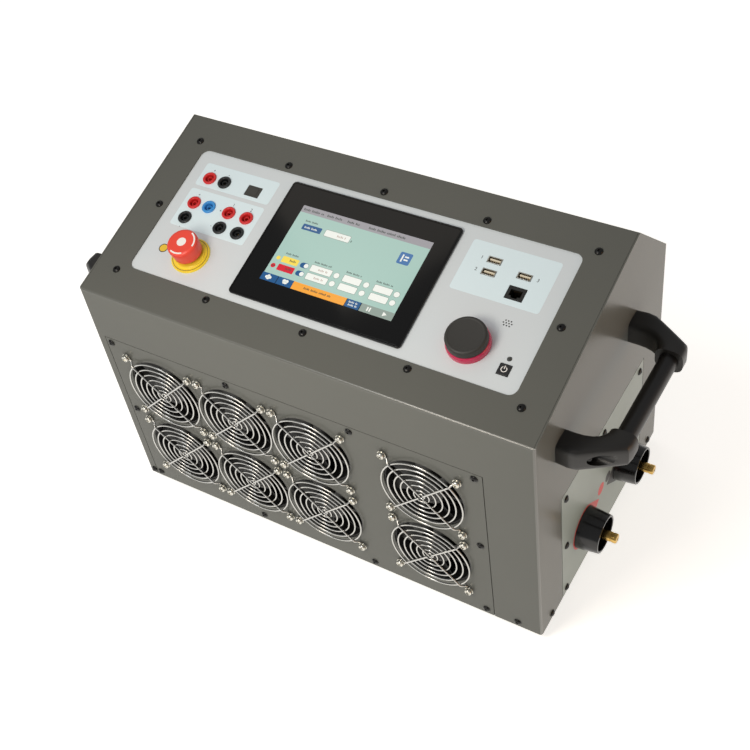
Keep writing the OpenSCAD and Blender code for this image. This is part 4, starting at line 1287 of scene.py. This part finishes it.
    def data_ports(self) -> None:
        """Builds the three data ports: folded shells with cream tongues and their contacts."""
        shell = Shape.block((7.2, 3.5), -self.board, self.proud, 0.7).soften(0.2)
        shell.cut(Shape.block((6.4, 2.8), -self.port_depth, CUT_PAST, 0.3))
        tongue = Shape.slab((-5.6, 5.6), (0.3, 2.0), (-14.1, -1)).soften(0.3)
        pads = Shape()
        for x in (-3.5, -1.0, 1.0, 3.5):
            pads.take(Shape.slab((x - 0.5, x + 0.5), (0.2, 0.31), (-9, -2.2)))
        seats = [CASE.on_panel(x, v) for x, v in self.ports]
        shell.at(*seats).piece("data_port_shells", TIN, "port_metal", "data_ports")
        tongue.at(*seats).piece("data_port_tongues", CREAM, "port_metal")
        pads.at(*seats).piece("data_port_contacts", BRASS, "brass")

    def keys(self) -> None:
        """Builds the power button with its sign, and the status light."""
        seat, half, top = CASE.on_panel(*self.button), self.button_half, self.button_top
        made = Shape.block((half, half), self.button_back, top, 1.2).soften(0.4, 3)
        made.take(Shape.block((half + self.lip, half + self.lip), self.button_back, self.lip_top, 0.8))
        made.take(Shape.disc(1.5, -16, -3.4, 20))
        made.at(seat).piece("power_key", BUTTON_PLASTIC, "button_plastic", "power_button", body="power_button")
        sign = Shape.plate(band(0, 0, 3.1, 2.35, 125, 415), top, top + INK)
        sign.take(Shape.plate(square(0, 2.1, 0.4, 1.7), top, top + INK))
        sign.at(seat).piece("power_sign", WHITE_INK, "button_plastic", body="power_button")
        lens = Shape.lathe([(0, -self.board), (2.2, -self.board), (2.2, 0.5), (1.9, 0.9), (1.2, 1.08), (0, 1.12)], 28)
        lens.at(CASE.on_panel(*self.light)).piece("status_lens", SMOKED_LENS, "light_lens", "status_light")

    def build(self) -> None:
        """Builds everything on the panel."""
        self.prints()
        self.sockets()
        self.jacks()
        self.data_ports()
        self.keys()


@dataclass
class Connectors:
    """The two high-current connectors on the right side, with their printed signs."""

    pin_y: tuple[float, float] = (104.5, 204.5)
    pin_z: float = 62.0
    shroud: float = 24.0
    reach: float = 24.5
    pin: float = 5.5
    pin_out: float = 38.0
    pin_gap: float = 0.02
    taper: float = 2.5
    drop_radius: float = 26.0
    drop_tip: float = 40.0
    # half the opening of the drop's arc towards its point, in degrees
    drop_open: float = 48.0
    spot_y: Point2 = (148.9, 167.5)
    spot_z: float = 74.0
    spot_radii: Point2 = (7.6, 6.6)

    def drop(self, way: int) -> Shape:
        """Returns a printed drop round a connector, with its point along local X."""
        outline = sweep(0, 0, self.drop_radius, self.drop_open, 360 - self.drop_open, 40) + [(self.drop_tip, 0.0)]
        return Shape.plate(outline, 0, INK).at(spun(0 if way > 0 else math.pi))

    def build(self) -> None:
        """Builds the shrouds, the pins and the prints."""
        r, h, p, end = self.shroud, self.reach, self.pin, self.pin_out
        bore, taper = p + self.pin_gap, self.taper
        shroud = Shape.lathe([(bore, -5.5), (p + 3, -5.5), (p + 3, 0), (r, 0), (r - taper * (h - 1) / h, h - 1),
                              (r - taper, h - 0.5), (r - 2.9, h), (r - 4.6, h), (r - 5.0, h - 0.5), (r - 3.1, 4.6),
                              (r - 3.6, 4.0), (bore, 4.0)], 72, True)
        pin = Shape.lathe([(0, -34), (p, -34), (p, 4), (p + 3, 4), (p + 3, 7), (p, 7), (p, end - 6.5),
                           (p - 0.5, end - 6.2), (p - 0.5, end - 5.3), (p, end - 5), (p, end - 1.2),
                           (p - 0.4, end - 0.4), (p - 1.2, end), (1.6, end), (1.4, end - 0.8), (0, end - 0.8)], 48)
        seats = [CASE.on_side(1, y, self.pin_z) for y in self.pin_y]
        shroud.at(*seats).piece("connector_shroud_pair", SHROUD_BLACK, "shroud_plastic", "connector_shrouds")
        pin.at(*seats).piece("connector_pin_pair", BRASS, "brass", "connector_pins")
        prints = (("positive_print", RED_INK, 1), ("negative_print", DARK_INK, -1))
        for (name, ink, way), seat, y, radius in zip(prints, seats, self.spot_y, self.spot_radii):
            made = self.drop(way).at(seat)
            made.take(Shape.disc(radius, 0, INK, 40), CASE.on_side(1, y, self.spot_z))
            made.piece(name, ink, "connector_paint")


@dataclass
class MainsEntry:
    """The rear mains inlet with its rocker switch."""

    x: float = -178.0
    z: float = 266.75
    proud: float = 3.5
    plate: Point2 = (30.0, 15.0)
    neck: Point2 = (26.0, 12.0)
    neck_depth: float = 24.0
    mouth_depth: float = 14.0
    bay_depth: float = 9.0
    blades: tuple[Point2, ...] = ((-19.7, -2.0), (-12.7, 2.0), (-5.7, -2.0))
    rocker_x: float = 14.5
    rocker_half: float = 6.2
    pivot: float = 1.5
    pivot_half: float = 8.25
    tilt: float = 8.0

    def build(self) -> None:
        """Builds the inlet, its blades and the rocker."""
        seat = CASE.on_back(self.x, self.z)
        body = Shape.block(self.plate, 0, self.proud, 3.0).soften(0.8, 3, 40)
        neck = Shape.block(self.neck, -self.neck_depth, 0)
        mouth = Shape.plate([(-25, -8.5), (-0.5, -8.5), (-0.5, 4.5), (-4.5, 8.5), (-21, 8.5), (-25, 4.5)],
                            -self.mouth_depth, CUT_PAST)
        bay = Shape.slab((4.5, 24.5), (-6.6, 6.6), (-self.bay_depth, CUT_PAST), 0.6)
        body.cut(mouth, bay)
        neck.cut(mouth, bay)
        body.at(seat).take(neck, seat).piece("mains_inlet_body", INLET_BLACK, "inlet_plastic", "mains_inlet")
        blades = Shape()
        for x, y in self.blades:
            blades.take(Shape.plate(square(x, y, 1, 2), -14.1, -1).soften(0.3), seat)
        blades.piece("mains_inlet_blades", TIN, "port_metal")
        rock = seat @ moved(self.rocker_x, 0) @ spun(math.radians(self.tilt), "Y")
        outline = [(-8.9, -2.2), (8.9, -2.2), (8.9, 2), (4.5, 1.2), (0, 0.9), (-4.5, 1.2), (-8.9, 2)]
        across = spun(math.pi / 2, "X")
        paddle = Shape.plate(outline, -self.rocker_half, self.rocker_half).at(across).soften(0.4, 2, 40)
        paddle.take(Shape.disc(self.pivot, -self.pivot_half, self.pivot_half, 24), across)
        paddle.at(rock).piece("mains_rocker_paddle", ROCKER_RED, "rocker_plastic", "mains_rocker", body="rocker")


@dataclass
class Studio:
    """The floor, the lights and the photograph's camera."""

    floor_half: float = 7000.0
    camera_at: tuple[float, float, float] = (572.6, -761.0, 1150.7)
    # its tilt, roll and pan, in degrees
    camera_turn: tuple[float, float, float] = (43.1, 6.79389, 30.38104)
    lens: float = 59.76
    sensor: float = 36.0
    sight: float = 50.0
    aim: tuple[float, float, float] = (0.0, 0.0, 180.0)
    surround: str = "#f3f4f6"
    surround_light: float = 0.36
    lamps: tuple[tuple[str, tuple[float, float, float], float, float, str], ...] = (
        ("key", (-700.0, -900.0, 2100.0), 700.0, 8.0, "#ffffff"),
        ("near", (-20.0, -590.0, 740.0), 260.0, 2.5, "#fff4e6"),
        ("side", (2200.0, 200.0, 500.0), 1300.0, 8.0, "#ffb458"),
        ("ceiling", (-1300.0, 1150.0, 2600.0), 1300.0, 3.4, "#fff4e4"),
    )

    def floor(self) -> None:
        """Lays the pale floor."""
        made = bmesh.new()
        bmesh.ops.create_grid(made, x_segments=1, y_segments=1, size=self.floor_half / MM)
        mesh = bpy.data.meshes.new("floor")
        made.to_mesh(mesh)
        made.free()
        mesh.materials.append(CLEAR_FLOOR.material())
        laid = bpy.data.objects.new("floor", mesh)
        bpy.context.scene.collection.objects.link(laid)

    def lights(self) -> None:
        """Hangs the soft boxes and sets an even pale surround."""
        for name, spot, size, power, colour in self.lamps:
            lamp = bpy.data.lights.new(name, "AREA")
            lamp.shape, lamp.size, lamp.energy, lamp.color = "SQUARE", size / MM, power, linear(colour)[:3]
            held = bpy.data.objects.new(name, lamp)
            turn = (Vector(self.aim) - Vector(spot)).to_track_quat("-Z", "Y").to_matrix().to_4x4()
            held.matrix_world = Matrix.Translation(Vector(spot) / MM) @ turn
            bpy.context.scene.collection.objects.link(held)
        world = bpy.data.worlds.new("surround")
        world.use_nodes = True
        glow = world.node_tree.nodes["Background"]
        glow.inputs["Color"].default_value = linear(self.surround)
        glow.inputs["Strength"].default_value = self.surround_light
        bpy.context.scene.world = world

    def camera(self) -> None:
        """Sets the camera where the photograph was taken."""
        eye = bpy.data.cameras.new("camera")
        eye.lens, eye.sensor_width, eye.clip_end = self.lens, self.sensor, self.sight
        held = bpy.data.objects.new("camera", eye)
        turn = Euler([math.radians(a) for a in self.camera_turn]).to_matrix().to_4x4()
        held.matrix_world = Matrix.Translation(Vector(self.camera_at) / MM) @ turn
        bpy.context.scene.collection.objects.link(held)
        bpy.context.scene.camera = held
        bpy.context.scene.view_settings.view_transform = "Standard"

    def build(self) -> None:
        """Sets the stage."""
        self.camera()
        self.floor()
        self.lights()


def main() -> None:
    """Builds the object piece by piece."""
    logging.basicConfig(level=logging.INFO, format="%(message)s")
    for part in (Studio(), Sheets(), FanWall(), Fasteners(), Handles(), Screen(), StopButton(), Knob(), ControlDeck(),
                 Connectors(), MainsEntry()):
        part.build()
        log.info("finished %s", type(part).__name__)


if __name__ == "__main__":
    main()
